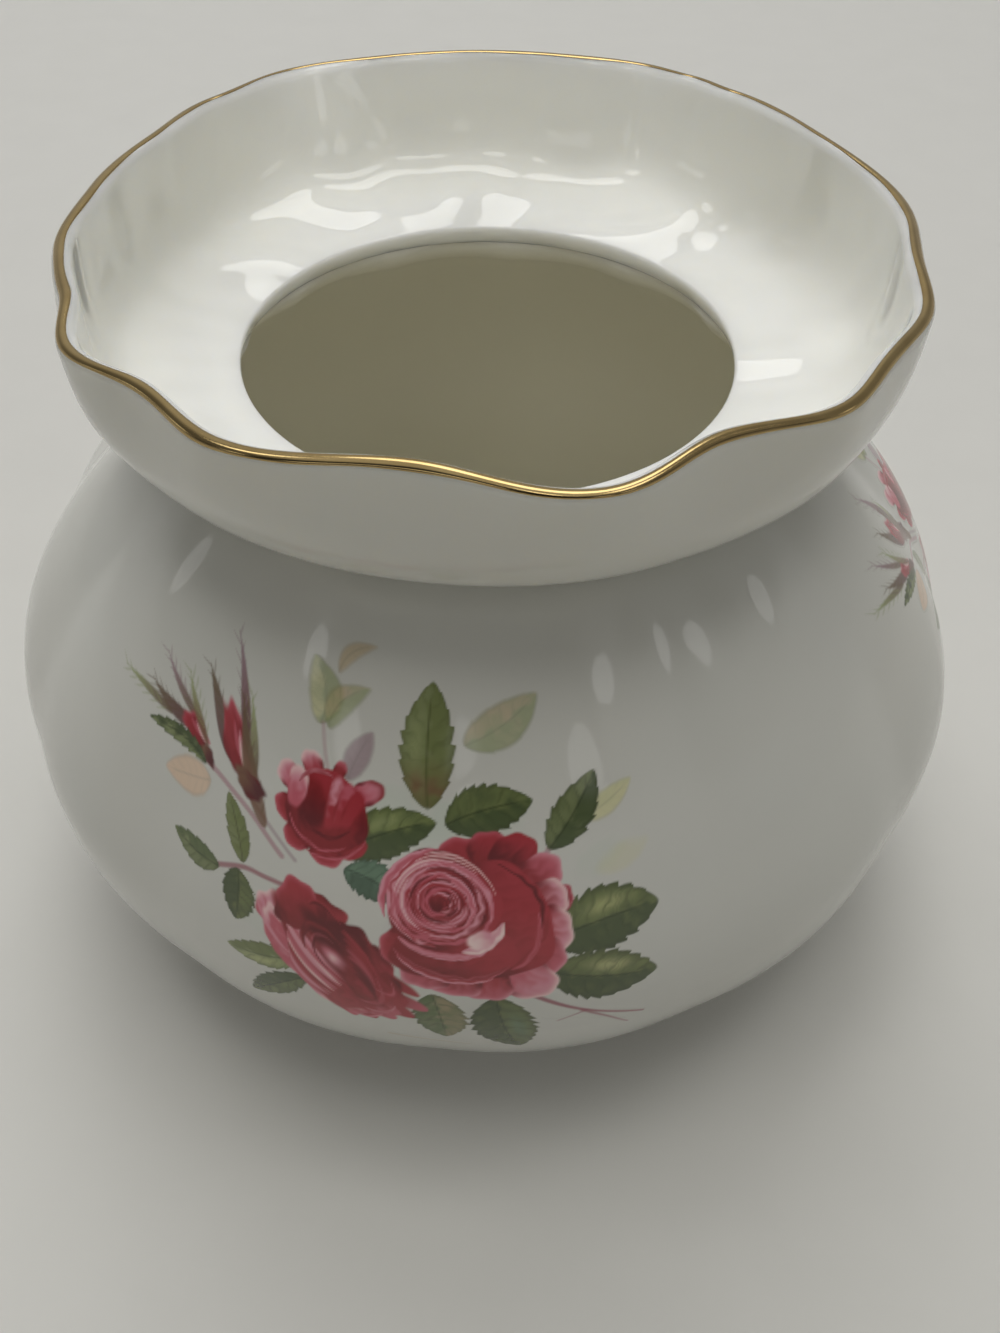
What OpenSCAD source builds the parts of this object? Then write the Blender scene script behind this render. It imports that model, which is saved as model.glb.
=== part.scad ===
// Bone china vase with a melon-lobed bowl, a pinched cup-shaped mouth,
// a turned foot, a fired gold edge and three rose transfers.
// Millimetres. Origin at the middle of the resting plane, +Z up,
// the side with the front rose spray towards -Y.

/* [Overall] */
// Height from the resting plane to the middle of the lip
overall_h = 93; // [80:1:110]
// Thickness of the cast china wall
china_wall = 2.4; // [1.8:0.1:3]

/* [Bowl] */
// Diameter of the bowl at its widest
belly_d = 122.4; // [116:0.1:132]
// Height of the widest place above the resting plane
belly_h = 34.5; // [30:0.5:42]
// Diameter of the neck crease, where the mouth is luted on
neck_d = 64; // [62:0.5:72]
// Rounding of the neck crease, above and below
neck_round = 1.5; // [1:0.1:1.8]
// How far a melon lobe stands out from its crease at the shoulder
lobe_depth = 1.1; // [0.4:0.1:1.6]

/* [Mouth] */
// Diameter of the lip, midway between the flutes
mouth_d = 92; // [90:0.5:98]
// Height of the cup-shaped mouth above the neck crease
cup_h = 18.2; // [16:0.1:22]
// Bore of the throat
throat_d = 55.8; // [48:0.2:58]
// Width of the rounded lip
lip_w = 2.1; // [1.6:0.1:2.6]
// How far the deepest flute pushes the lip outwards
flute_depth = 2; // [0.6:0.1:2.6]
// How far the deepest flute lets the lip down
flute_drop_h = 0.55; // [0:0.05:1]

/* [Foot] */
// Diameter of the foot ring
foot_d = 66; // [60:0.5:72]
// Width of the foot ring
foot_w = 3; // [2:0.1:5]
// Height of the foot ring
foot_h = 3; // [2:0.1:4]
// Rounding of the edges of the foot ring
foot_round = 0.8; // [0.3:0.1:0.9]
// Rise of the underside inside the foot ring
base_rise = 0.6; // [0.2:0.1:1.2]

/* [Gold edge] */
// Thickness of the fired gold
gilt_thickness = 0.12; // [0.08:0.01:0.2]

/* [Rose transfers] */
// Thickness of a fired transfer
transfer_thickness = 0.2; // [0.15:0.01:0.3]
// Gap that keeps a transfer clear of the glazed lobes
transfer_clearance = 0.08; // [0.05:0.01:0.12]
// Diameter of the open rose
rose_d = 19; // [16:0.5:20]
// Length of a full rose leaf
leaf_l = 12; // [9:0.5:12.5]

/* [Hidden] */

// Melon lobes and flutes share one pitch, and their first crown stands here
lobe_count = 12;
first_crown_angle = 10;
seg = 96;
round_fn = 96;
pitch = 360 / lobe_count;

// Radii and heights of the main places
belly_r = belly_d / 2;
neck_r = neck_d / 2;
mouth_r = mouth_d / 2;
throat_r = throat_d / 2;
foot_r = foot_d / 2;
neck_z = overall_h - cup_h;
shoulder_h = neck_z - belly_h;
under_h = belly_h - foot_h;
shoulder_w = belly_r - neck_r;
under_w = belly_r - foot_r;
cup_w = mouth_r - neck_r;
lip_r = lip_w / 2;

// Shares of the spans above that the control points of the curves take
shoulder_reach_share = 0.466;
shoulder_fall_share = 0.228;
belly_full_share = 0.36;
under_full_share = 0.555;
under_flat_share = 0.605;
under_drop_share = 0.048;
cup_flare_share = 1.04;
cup_floor_share = 0.04;
cup_side_share = 0.48;
cup_deep_share = 0.78;
floor_slope_share = 0.685;
floor_rise_share = 0.3;
// Shares of the china wall that shape the dish and the rolled edge of the throat
dish_rise_share = 0.8;
roll_rise_share = 1.05;
roll_reach_share = 0.28;
roll_fall_share = 0.05;
throat_rise_share = 0.3;

// Turn of the neck crease where it meets the shoulder
neck_fall_angle = 57;

// Steps of the curves
shoulder_steps = 7;
under_steps = 6;
neck_steps = 2;
inside_steps = 5;
cup_steps = 6;
dish_steps = 5;
lip_steps = 4;
throat_steps = 4;
table_steps = 60;

// Each flute of the hand-pinched lip: its push, the hollow after it and its drift
crown_shares = [1.3, 0.85, 0.7, 0.2, 0.5, 2.6, 2, 2.6, -1.2, -0.28, 0.87, 0.78];
hollow_shares = [-0.25, 0.38, -0.18, -0.6, 1.6, 1.9, 1.8, 0.2, -0.95, -0.33, -0.05, -0.28];
drift = [2, 4, -3, -4, 9, -3, -6, -10, -3, 0, -6, -9];

// How much of the lobe depth shows at shares of the bowl's height
lobe_height_shares = [[0, 0], [0.12, 0.15], [0.37, 0.45], [0.55, 0.85], [0.68, 1], [0.79, 0.45]];
// Softness of the lobe creases, and the share that sits outside the mean round
crease_soft_share = 0.22;
lobe_mean_share = 0.62;
// Power with which the flutes fade towards the throat
flute_fade_power = 1.3;

// Azimuths of the three sprays, laid by eye and not evenly. A spray's places are
// [degrees round, share of the bowl's wall upwards] from the widest place
front_angle = -10;
right_angle = 100;
left_angle = -135;
leaf_steps = 3;
leaf_w_share = 0.54;
leaf_full_share = 0.85;
leaf_round_share = 0.8;
tip_share = 0.03;
bud_w_share = 0.42;
petal_steps = 3;
petal_gap_share = 0.04;
petal_scallop_share = 0.14;
heart_share = 0.4;
heart_eye_share = 0.06;
// [place, size share, petals, rows of the petals, turn]
roses = [[[9, 0.12], 1, 6, 1, 8], [[-5.5, 0.05], 0.68, 5, 1, 40], [[-7.5, 0.235], 0.56, 5, 1, 0]];
// [place, size share, turn]
buds = [[[-14.5, 0.21], 0.62, 22], [[-20.5, 0.2], 0.5, 50]];
// [place, size share, turn]
leaves = [
    [[-17, 0.165], 0.6, 100], [[-14, 0.12], 0.65, 125], [[-13.5, 0.05], 0.75, 140],
    [[3.5, 0.25], 0.95, 5], [[8.5, 0.235], 0.75, -35], [[15, 0.215], 0.75, -25],
    [[10, 0.325], 0.55, -40], [[19.5, 0.135], 0.75, -82], [[19, 0.07], 0.75, -108],
    [[4.5, 0], 0.5, 160], [[11, -0.005], 0.5, -165], [[-7.5, 0.315], 0.55, 25]];

// Point on a cubic curve, and its unit normal to the left of the travel
function bez(p, t) = let (s = 1 - t)
    s * s * s * p[0] + 3 * s * s * t * p[1] + 3 * s * t * t * p[2] + t * t * t * p[3];
function bez_dir(p, t) = let (s = 1 - t)
    s * s * (p[1] - p[0]) + 2 * s * t * (p[2] - p[1]) + t * t * (p[3] - p[2]);
function left_of(v) = [-v[1], v[0]] / norm(v);
function curve(p, n, first = 0, last = 1) =
    [for (i = [0:n]) bez(p, first + (last - first) * i / n)];
function curve_off(p, n, d) =
    [for (i = [0:n]) bez(p, i / n) + d * left_of(bez_dir(p, i / n))];
function tail(v, skip = 1) = [for (i = [skip:len(v) - 1]) v[i]];
function turned(v) = [for (i = [len(v) - 1:-1:0]) v[i]];

// Ease from one value to the next as half a cosine wave
function ease(a, b, t) = a + (b - a) * (1 - cos(180 * t)) / 2;
// Lip wave at azimuth a: eased between each crown and the hollow after it
function crown_at(i) = first_crown_angle + pitch * i + drift[i % lobe_count];
function flute(a) = let (
    b = (a - crown_at(0)) % 360,
    x = (b < 0 ? b + 360 : b) + crown_at(0),
    i = max([for (k = [0:lobe_count - 1]) if (crown_at(k) <= x) k]),
    here = crown_at(i),
    there = crown_at(i + 1),
    mid = (here + there) / 2)
    x < mid
        ? ease(crown_shares[i], hollow_shares[i], (x - here) / (mid - here))
        : ease(hollow_shares[i], crown_shares[(i + 1) % lobe_count], (x - mid) / (there - mid));

// Melon lobe at azimuth a: a rounded scallop, taken about its mean
function lobe(a) = let (c = cos(lobe_count / 2 * (a - first_crown_angle)), e = crease_soft_share)
    (sqrt(c * c + e * e) - e) / (sqrt(1 + e * e) - e) - lobe_mean_share;
function lobe_amount(z) = lobe_depth * lookup(z / overall_h, lobe_height_shares);

// Azimuth 0 looks out along -Y and grows towards +X
function on_azimuth(r, z, a) = [r * sin(a), -r * cos(a), z];
function bowl_point(p, a) = on_azimuth(p[0] + lobe_amount(p[1]) * lobe(a), p[1], a);
function fade(z) = pow(max(0, (z - floor_z) / (overall_h - floor_z)), flute_fade_power);
function mouth_point(p, a) = let (w = fade(p[1]) * flute(a))
    on_azimuth(p[0] + flute_depth * w, p[1] - flute_drop_h * w, a);
function azimuth(j) = first_crown_angle + 360 * j / seg;
function bowl_ring(p) = [for (j = [0:seg - 1]) bowl_point(p, azimuth(j))];
function mouth_ring(p) = [for (j = [0:seg - 1]) mouth_point(p, azimuth(j))];
function plain_ring(p) = [for (j = [0:seg - 1]) on_azimuth(p[0], p[1], azimuth(j))];

// Outlines of the china, as [radius, height]
neck_down = [for (i = [0:neck_steps]) neck_at(-neck_fall_angle * i / neck_steps)];
neck_up = [for (i = [0:neck_steps]) neck_at(90 * i / neck_steps)];
shoulder = [
    neck_at(-neck_fall_angle),
    [neck_r + shoulder_reach_share * shoulder_w, neck_z - shoulder_fall_share * shoulder_h],
    [belly_r, belly_h + belly_full_share * shoulder_h],
    [belly_r, belly_h]];
under = [
    [belly_r, belly_h],
    [belly_r, belly_h - under_full_share * under_h],
    [foot_r + under_flat_share * under_w, foot_h + under_drop_share * under_h],
    [foot_r, foot_h]];
cup = [
    neck_at(90),
    [neck_r + cup_flare_share * cup_w, neck_z + cup_floor_share * cup_h],
    [neck_r + cup_flare_share * cup_w, neck_z + cup_side_share * cup_h],
    [mouth_r, overall_h - lip_r]];
throat_z = neck_z + throat_rise_share * china_wall;
floor_z = neck_z + roll_rise_share * china_wall;
floor_r = throat_r + roll_reach_share * china_wall;
cup_inside = [
    [mouth_r - lip_w, overall_h - lip_r],
    [mouth_r - lip_w, overall_h - cup_deep_share * cup_h],
    [floor_r + floor_slope_share * (mouth_r - floor_r), floor_z + dish_rise_share * china_wall],
    [floor_r, floor_z]];
throat = [
    [floor_r, floor_z],
    [throat_r, floor_z - roll_fall_share * china_wall],
    [throat_r, throat_z],
    [throat_r + floor_rise_share * (neck_r - throat_r), neck_z]];
neck_in_r = throat[3][0];

// The neck crease is a hollow round that turns from the shoulder to the cup
function neck_at(a) = [neck_r + neck_round * (1 - cos(a)), neck_z + neck_round * sin(a)];
// The lip is half a round between the outer and the inner wall
function lip_at(a, grow = 0) =
    [mouth_r - lip_r + (lip_r + grow) * cos(a), overall_h - lip_r + (lip_r + grow) * sin(a)];

// Solid skinned over rings that close on themselves, and one closed at the axis
module ring_loop(rings) {
    n = len(rings);
    points = [for (r = rings) for (p = r) p];
    faces = [for (i = [0:n - 1]) for (j = [0:seg - 1])
        let (k = (i + 1) % n, m = (j + 1) % seg,
            a = i * seg + j, b = i * seg + m, c = k * seg + m, d = k * seg + j)
        each [[a, b, c], [a, c, d]]];
    polyhedron(points, faces, convexity = 8);
}
module ring_stack(first, rings, last) {
    n = len(rings);
    points = concat([first], [for (r = rings) for (p = r) p], [last]);
    start = [for (j = [0:seg - 1]) [0, 1 + (j + 1) % seg, 1 + j]];
    walls = [for (i = [0:n - 2]) for (j = [0:seg - 1])
        let (m = (j + 1) % seg, a = 1 + i * seg + j, b = 1 + i * seg + m,
            c = b + seg, d = a + seg)
        each [[a, b, c], [a, c, d]]];
    finish = [for (j = [0:seg - 1])
        [n * seg + 1, 1 + (n - 1) * seg + j, 1 + (n - 1) * seg + (j + 1) % seg]];
    polyhedron(points, concat(start, walls, finish), convexity = 8);
}

// Lobed bowl: floor, inner wall, mouth of the bowl, outer wall and seat of the foot
module bowl() {
    inside = concat(
        turned(curve_off(under, inside_steps, -china_wall)),
        tail(turned(curve_off(shoulder, inside_steps, -china_wall))));
    outside = concat(neck_down, tail(curve(shoulder, shoulder_steps)),
        tail(curve(under, under_steps)));
    floor_h = foot_h + china_wall;
    color("#e9e7df") ring_stack(
        [0, 0, floor_h + base_rise],
        concat(
            [for (p = inside) bowl_ring(p)],
            [plain_ring([neck_in_r, neck_z])],
            [for (p = outside) p[1] > foot_h ? bowl_ring(p) : plain_ring(p)],
            [plain_ring([foot_r - foot_w, foot_h])]),
        [0, 0, foot_h + base_rise]);
}

// Cup-shaped mouth with its pinched flutes, rounded lip and rolled throat
module mouth_collar() {
    outline = concat(
        neck_up,
        tail(curve(cup, cup_steps)),
        [for (i = [1:lip_steps - 1]) lip_at(180 * i / lip_steps)],
        curve(cup_inside, dish_steps),
        tail(curve(throat, throat_steps)));
    color("#e9e7df") ring_loop(turned([for (p = outline) mouth_ring(p)]));
}

// Turned foot with rounded edges, luted under the bowl
module foot_ring() {
    color("#dedcd3") rotate_extrude($fn = round_fn) translate([foot_r - foot_w, 0])
        polygon(concat(
            [[0, foot_h], [0, foot_round]],
            [for (i = [1:lip_steps]) foot_round * [1 - cos(90 * i / lip_steps), 1 - sin(90 * i / lip_steps)]],
            [for (i = [0:lip_steps]) [foot_w, foot_round]
                + foot_round * [sin(90 * i / lip_steps) - 1, -cos(90 * i / lip_steps)]],
            [[foot_w, foot_h]]));
}

// Film of gold fired over the top of the lip
module gilt_edge() {
    angles = [for (i = [1:lip_steps - 1]) 180 * i / lip_steps];
    outline = concat(
        [for (a = angles) lip_at(a, gilt_thickness)],
        turned([for (a = angles) lip_at(a)]));
    color("#b8924a") ring_loop(turned([for (p = outline) mouth_ring(p)]));
}

// Outside of the bowl, measured down the wall from the foot of the neck crease
skin_line = concat(curve(shoulder, table_steps), tail(curve(under, table_steps)));
skin_run = [for (i = 0, s = 0; i < len(skin_line);
    s = s + norm(skin_line[min(i + 1, len(skin_line) - 1)] - skin_line[i]), i = i + 1) s];
skin_r = [for (i = [0:len(skin_line) - 1]) [skin_run[i], skin_line[i][0]]];
skin_z = [for (i = [0:len(skin_line) - 1]) [skin_run[i], skin_line[i][1]]];
skin_len = skin_run[len(skin_run) - 1];
function skin_at(s) = [lookup(s, skin_r), lookup(s, skin_z)];
// Point lifted off the bowl at azimuth a and s down the wall
function lifted(a, s, lift) = let (
    p = skin_at(s),
    n = left_of(skin_at(s + china_wall) - skin_at(s - china_wall)))
    bowl_point(p, a) + on_azimuth(lift * n[0], lift * n[1], a);

// Closed film over a grid of [across, up] places about a spot on the bowl.
// Each row of the grid has the same number of places.
module film(grid, a0, s0) {
    rows = len(grid);
    cols = len(grid[0]);
    layers = [transfer_clearance, transfer_clearance + transfer_thickness];
    function spot(g, lift) = let (s = s0 - g[1])
        lifted(a0 + (g[0] / lookup(s, skin_r)) * 180 / PI, s, lift);
    points = [for (lift = layers) for (row = grid) for (g = row) spot(g, lift)];
    half = rows * cols;
    cells = [for (i = [0:rows - 2]) for (j = [0:cols - 2]) i * cols + j];
    under_side = [for (k = cells) each [[k, k + 1, k + cols + 1], [k, k + cols + 1, k + cols]]];
    top_side = [for (f = under_side) [f[0] + half, f[2] + half, f[1] + half]];
    border = concat(
        [for (j = [0:cols - 2]) j],
        [for (i = [0:rows - 2]) i * cols + cols - 1],
        [for (j = [cols - 1:-1:1]) (rows - 1) * cols + j],
        [for (i = [rows - 1:-1:1]) i * cols]);
    edge = [for (k = [0:len(border) - 1]) let (p = border[k], q = border[(k + 1) % len(border)])
        each [[p, q + half, q], [p, p + half, q + half]]];
    polyhedron(points, concat(under_side, top_side, edge), convexity = 4);
}

function spun(g, a) = [g[0] * cos(a) - g[1] * sin(a), g[0] * sin(a) + g[1] * cos(a)];
// Pointed oval, from its stalk at the spot towards the turn a
function leaf_grid(l, w, a) = [for (i = [0:leaf_steps]) let (
    u = tip_share + (1 - 2 * tip_share) * i / leaf_steps,
    half_w = w / 2 * pow(sin(180 * pow(u, leaf_full_share)), leaf_round_share))
    [for (j = [-1:1]) spun([j * half_w, u * l], a)]];
// Piece of a ring of petals, with a scalloped edge
function petal_grid(r0, r1, a0, a1, rows) = [for (i = [0:rows]) let (r = r0 + (r1 - r0) * i / rows)
    [for (j = [0:petal_steps]) let (
        a = a0 + (a1 - a0) * j / petal_steps,
        bulge = 1 - petal_scallop_share * i / rows * pow(2 * j / petal_steps - 1, 2))
        r * bulge * [cos(a), -sin(a)]]];

module leaf_film(place, size_share, turn, a0, s0) {
    l = leaf_l * size_share;
    color("#5d6f45")
        film(leaf_grid(l, leaf_w_share * l, turn), a0 + place[0], s0 - place[1] * skin_len);
}
module bud_film(place, size_share, turn, a0, s0) {
    l = rose_d * size_share;
    color("#a8324a")
        film(leaf_grid(l, bud_w_share * l, turn), a0 + place[0], s0 - place[1] * skin_len);
}
module rose_film(place, size_share, petals, rows, turn, a0, s0) {
    r = rose_d / 2 * size_share;
    gap = petal_gap_share * r;
    inner = heart_share * r;
    spot_a = a0 + place[0];
    spot_s = s0 - place[1] * skin_len;
    color("#b83a52") for (k = [0:petals - 1]) {
        a = turn + k * 360 / petals;
        film(petal_grid(inner + gap, r, a, a + 360 / petals - gap / r * 180 / PI, rows),
            spot_a, spot_s);
    }
    color("#d98a94") for (k = [0, 1])
        film(petal_grid(heart_eye_share * r, inner, turn + 180 * k,
            turn + 180 * k + 180 - 2 * gap / r * 180 / PI, 1), spot_a, spot_s);
}

// One spray about azimuth a0: an open rose, two smaller ones, buds and leaves
module rose_spray(a0) {
    s0 = skin_run[table_steps];
    for (f = roses) rose_film(f[0], f[1], f[2], f[3], f[4], a0, s0);
    for (f = buds) bud_film(f[0], f[1], f[2], a0, s0);
    for (f = leaves) leaf_film(f[0], f[1], f[2], a0, s0);
}
module rose_transfer_front() { rose_spray(front_angle); }
module rose_transfer_right() { rose_spray(right_angle); }
module rose_transfer_left() { rose_spray(left_angle); }

bowl();
mouth_collar();
foot_ring();
gilt_edge();
rose_transfer_front();
rose_transfer_right();
rose_transfer_left();
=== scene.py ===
"""Bone china vase: melon-lobed bowl, pinched cup-shaped mouth, gold edge and three painted rose sprays."""
import math
from functools import partial

import bpy
import numpy as np
from mathutils import Matrix, Vector


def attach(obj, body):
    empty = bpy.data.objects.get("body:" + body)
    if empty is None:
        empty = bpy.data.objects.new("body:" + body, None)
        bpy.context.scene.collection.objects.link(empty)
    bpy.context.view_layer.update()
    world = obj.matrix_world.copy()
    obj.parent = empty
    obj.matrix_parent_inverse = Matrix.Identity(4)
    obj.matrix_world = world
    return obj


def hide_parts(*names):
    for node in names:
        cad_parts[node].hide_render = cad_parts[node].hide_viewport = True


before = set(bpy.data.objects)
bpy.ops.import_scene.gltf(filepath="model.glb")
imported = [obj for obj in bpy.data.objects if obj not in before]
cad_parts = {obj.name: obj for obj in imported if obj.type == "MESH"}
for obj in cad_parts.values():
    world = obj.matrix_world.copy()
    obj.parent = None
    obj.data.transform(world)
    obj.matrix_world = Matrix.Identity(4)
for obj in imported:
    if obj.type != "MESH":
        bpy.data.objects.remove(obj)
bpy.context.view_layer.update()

MM = 0.001

# Sizes of the vase in millimetres, as in the part's source, with the lobes a little deeper to show
HEIGHT = 93.0
WALL = 2.4
BELLY_R, BELLY_Z = 61.2, 34.5
NECK_R, NECK_Z, NECK_ROUND, NECK_FALL = 32.0, 74.8, 1.5, 57.0
MOUTH_R, LIP_W = 46.0, 2.1
THROAT_R = 27.9
FOOT_R, FOOT_W, FOOT_H, FOOT_ROUND = 33.0, 3.0, 3.0, 0.8
BASE_RISE = 0.6
LOBE_DEPTH = 1.5
FLUTE_DEPTH, FLUTE_DROP, FLUTE_FADE = 2.0, 0.55, 1.3

# Melon lobes and flutes share one pitch; their first crown stands at this azimuth
LOBES = 12
FIRST_CROWN = 10.0
PITCH = 360 / LOBES

# Each flute of the hand-pinched lip: the push of its crown, of the hollow after it, and its drift in degrees
CROWNS = [1.3, 0.85, 0.7, 0.2, 0.5, 2.6, 2, 2.6, -1.2, -0.28, 0.87, 0.78]
HOLLOWS = [-0.25, 0.38, -0.18, -0.6, 1.6, 1.9, 1.8, 0.2, -0.95, -0.33, -0.05, -0.28]
DRIFT = [2, 4, -3, -4, 9, -3, -6, -10, -3, 0, -6, -9]

# How much of the lobe depth shows at shares of the height, softened into one smooth run
LOBE_HEIGHTS = [0, 0.12, 0.37, 0.55, 0.68, 0.79]
LOBE_SHARES = [0, 0.15, 0.45, 0.85, 1, 0.45]
LOBE_SOFTENING = 0.05

# Softness of the creases between lobes, and the share of the lobe depth by which they lie inside the wall
CREASE_SOFT = 0.22
LOBE_MEAN = 0.72

# Gold film: its thickness, and where it starts and ends in degrees round the lip from its outside
GOLD_LIFT = 0.06
GOLD_LOW, GOLD_HIGH = 36, 110

# Camera of the photograph, in millimetres and degrees; its lens is a share of the sensor's width
CAMERA_PLACE = (1.33, -131.7, 157.9)
CAMERA_DOWN, CAMERA_YAW, CAMERA_ROLL = 45.4, 0.27, 0.93
CAMERA_LENS_SHARE = 1.3

# China: the outside drifts between two whites painted darker as shade; the dish is painted whiter as light,
# and the inside of the bowl creamier as warm light; the depth in millimetres is how far red, green and blue
# light travel in the thin wall of the mouth
OUTSIDE_SHADED_WARM, OUTSIDE_SHADED_COOL = "d2d0c8", "d0d1cb"
DISH_LIT_WHITE, WELL_LIT_CREAM = "f7f6ef", "f2efdf"
CHINA_DEPTH = (2.8, 2.7, 2.5)

# Clear glaze: its index, and its roughness outside, in the dish and in the bowl, where it's thin and dull
GLAZE_IOR = 1.52
GLAZE_ROUGHNESS, DISH_ROUGHNESS, WELL_ROUGHNESS = 0.045, 0.03, 0.45

# Waves of the glaze, as length and height in millimetres, the share of the dish's that its outside has, the
# fine ripple, and the stretch of the waves along X, Y and Z. Real waves are hundredths of a millimetre high
# and hardly show, so they are drawn higher, in the dish most of all; the ripple keeps its real height
GLAZE_WAVE, GLAZE_WAVE_DEPTH = 9.0, 0.2
DISH_WAVE, DISH_WAVE_DEPTH, DISH_WAVE_OUTSIDE = 11.0, 3.4, 0.12
GLAZE_RIPPLE, GLAZE_RIPPLE_DEPTH = 2.2, 0.006
WAVE_STRETCH = (1, 1, 0.4)

# Two tones of the wiped foot, the gold and the table, and the roughness of each and of the enamels
BARE_DARK, BARE_PALE, BARE_ROUGHNESS = "cfcbc0", "dedbd2", 0.62
GOLD_DARK, GOLD_PALE, GOLD_GLOSSY, GOLD_DULL = "a88e5e", "c7af7d", 0.1, 0.2
BOARD_DARK, BOARD_PALE, BOARD_ROUGHNESS = "d3d2cd", "d8d7d2", 0.55
ENAMEL_ROUGHNESS = 0.16

# Patterns in millimetres: clouds in the china and the gold, specks on the bare foot, brush marks in the gold
# and mottling on the table; and the heights of the specks and the brush marks
CHINA_CLOUD, GOLD_CLOUD, BARE_SPECK, BRUSH_MARK, BOARD_MOTTLING = 22.0, 3.5, 0.6, 0.7, 14.0
BARE_SPECK_DEPTH, BRUSH_MARK_DEPTH = 0.02, 0.004

# Sprays: the azimuth at which each transfer was laid by eye, the sheet it is drawn on and the film it leaves
SPRAY_TURNS = {"front": 0.0, "right": 110.0, "left": -125.0}
SHEET_LEFT, SHEET_RIGHT, SHEET_LOW, SHEET_HIGH = -46.0, 22.0, -12.0, 42.0
SHEET_CELL = 0.183
LEAST_COVER = 0.08
FILM_EDGE, FILM_LIFT = 0.012, 0.02

# Places worked out from the sizes above
LIP_R = LIP_W / 2
CUP_H = HEIGHT - NECK_Z
CUP_W = MOUTH_R - NECK_R
SHOULDER_H = NECK_Z - BELLY_Z
SHOULDER_W = BELLY_R - NECK_R
UNDER_H = BELLY_Z - FOOT_H
UNDER_W = BELLY_R - FOOT_R
DISH_Z = NECK_Z + 1.05 * WALL
DISH_R = THROAT_R + 0.28 * WALL
NECK_IN_R = THROAT_R + 0.3 * (NECK_R - THROAT_R)
SEAT_R = FOOT_R - FOOT_W
FLOOR_Z = FOOT_H + WALL


def neck_at(turn):
    """Point on the hollow round of the neck crease, at a turn in degrees up from level."""
    a = math.radians(turn)
    return [NECK_R + NECK_ROUND * (1 - math.cos(a)), NECK_Z + NECK_ROUND * math.sin(a)]


# Control points of the curves, as [radius, height]
SHOULDER = [neck_at(-NECK_FALL), [NECK_R + 0.466 * SHOULDER_W, NECK_Z - 0.228 * SHOULDER_H],
            [BELLY_R, BELLY_Z + 0.36 * SHOULDER_H], [BELLY_R, BELLY_Z]]
UNDER = [[BELLY_R, BELLY_Z], [BELLY_R, BELLY_Z - 0.555 * UNDER_H],
         [FOOT_R + 0.605 * UNDER_W, FOOT_H + 0.048 * UNDER_H], [FOOT_R, FOOT_H]]
CUP = [neck_at(90), [NECK_R + 1.04 * CUP_W, NECK_Z + 0.04 * CUP_H],
       [NECK_R + 1.04 * CUP_W, NECK_Z + 0.48 * CUP_H], [MOUTH_R, HEIGHT - LIP_R]]
DISH = [[MOUTH_R - LIP_W, HEIGHT - LIP_R], [MOUTH_R - LIP_W, HEIGHT - 0.78 * CUP_H],
        [DISH_R + 0.685 * (MOUTH_R - DISH_R), DISH_Z + 0.8 * WALL], [DISH_R, DISH_Z]]
THROAT = [[DISH_R, DISH_Z], [THROAT_R, DISH_Z - 0.05 * WALL],
          [THROAT_R + 0.45 * (NECK_IN_R - THROAT_R), NECK_Z + 0.4 * WALL], [NECK_IN_R, NECK_Z]]


# Curves and surfaces

def cubic(points, steps, first=0.0, last=1.0):
    """Points along a cubic curve: the Bernstein mix of its four control points."""
    p = np.array(points, float)
    t = np.linspace(first, last, steps + 1)[:, None]
    s = 1 - t
    return s**3 * p[0] + 3 * s * s * t * p[1] + 3 * s * t * t * p[2] + t**3 * p[3]


def set_off(line, distance):
    """Outline moved along its own normals, to the left of its travel where the distance is positive."""
    d = np.gradient(line, axis=0)
    normal = np.stack([-d[:, 1], d[:, 0]], 1) / np.linalg.norm(d, axis=1)[:, None]
    return line + distance * normal


def round_arc(middle, radius, start, stop, steps):
    """Points on a circle about a middle, from one angle in degrees to another."""
    a = np.radians(np.linspace(start, stop, steps + 1))
    return np.array(middle) + radius * np.stack([np.cos(a), np.sin(a)], 1)


def on_azimuth(r, z, azimuth):
    """Point at a radius, height and azimuth in degrees; azimuth 0 is towards -Y and grows towards +X."""
    a = np.radians(azimuth)
    return np.stack(np.broadcast_arrays(r * np.sin(a), -r * np.cos(a), z), -1)


def lobe(azimuth):
    """Melon lobe: the root of a squared cosine plus a softness, so crowns are round and creases tighter."""
    c = np.cos(np.radians(LOBES / 2 * (azimuth - FIRST_CROWN)))
    e = CREASE_SOFT
    return (np.sqrt(c * c + e * e) - e) / (math.sqrt(1 + e * e) - e) - LOBE_MEAN


def lobe_amount(z):
    """Depth of the lobes at a height: the run of shares averaged over a short stretch of the height."""
    around = np.linspace(-LOBE_SOFTENING, LOBE_SOFTENING, 9)
    shares = [np.interp(z / HEIGHT + d, LOBE_HEIGHTS, LOBE_SHARES) for d in around]
    return LOBE_DEPTH * np.mean(shares, axis=0)


def flute(azimuth):
    """Wave of the lip: half cosine waves that join each crown to the hollow after it."""
    i = np.arange(LOBES + 1)
    crown_places = FIRST_CROWN + PITCH * i + np.take(DRIFT, i % LOBES)
    places = np.empty(2 * LOBES + 1)
    pushes = np.empty(2 * LOBES + 1)
    places[0::2] = crown_places
    places[1::2] = (crown_places[:-1] + crown_places[1:]) / 2
    pushes[0::2] = CROWNS + CROWNS[:1]
    pushes[1::2] = HOLLOWS
    turned = (azimuth - places[0]) % 360 + places[0]
    k = np.clip(np.searchsorted(places, turned, side="right") - 1, 0, 2 * LOBES - 1)
    t = (turned - places[k]) / (places[k + 1] - places[k])
    return pushes[k] + (pushes[k + 1] - pushes[k]) * (1 - np.cos(np.pi * t)) / 2


def bowl_surface(outline, azimuth):
    """Outline carried round the axis, pushed outwards by the lobes as its height allows."""
    r, z = outline[:, :1], outline[:, 1:]
    return on_azimuth(r + lobe_amount(z) * (z > FOOT_H) * lobe(azimuth), z, azimuth)


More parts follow.
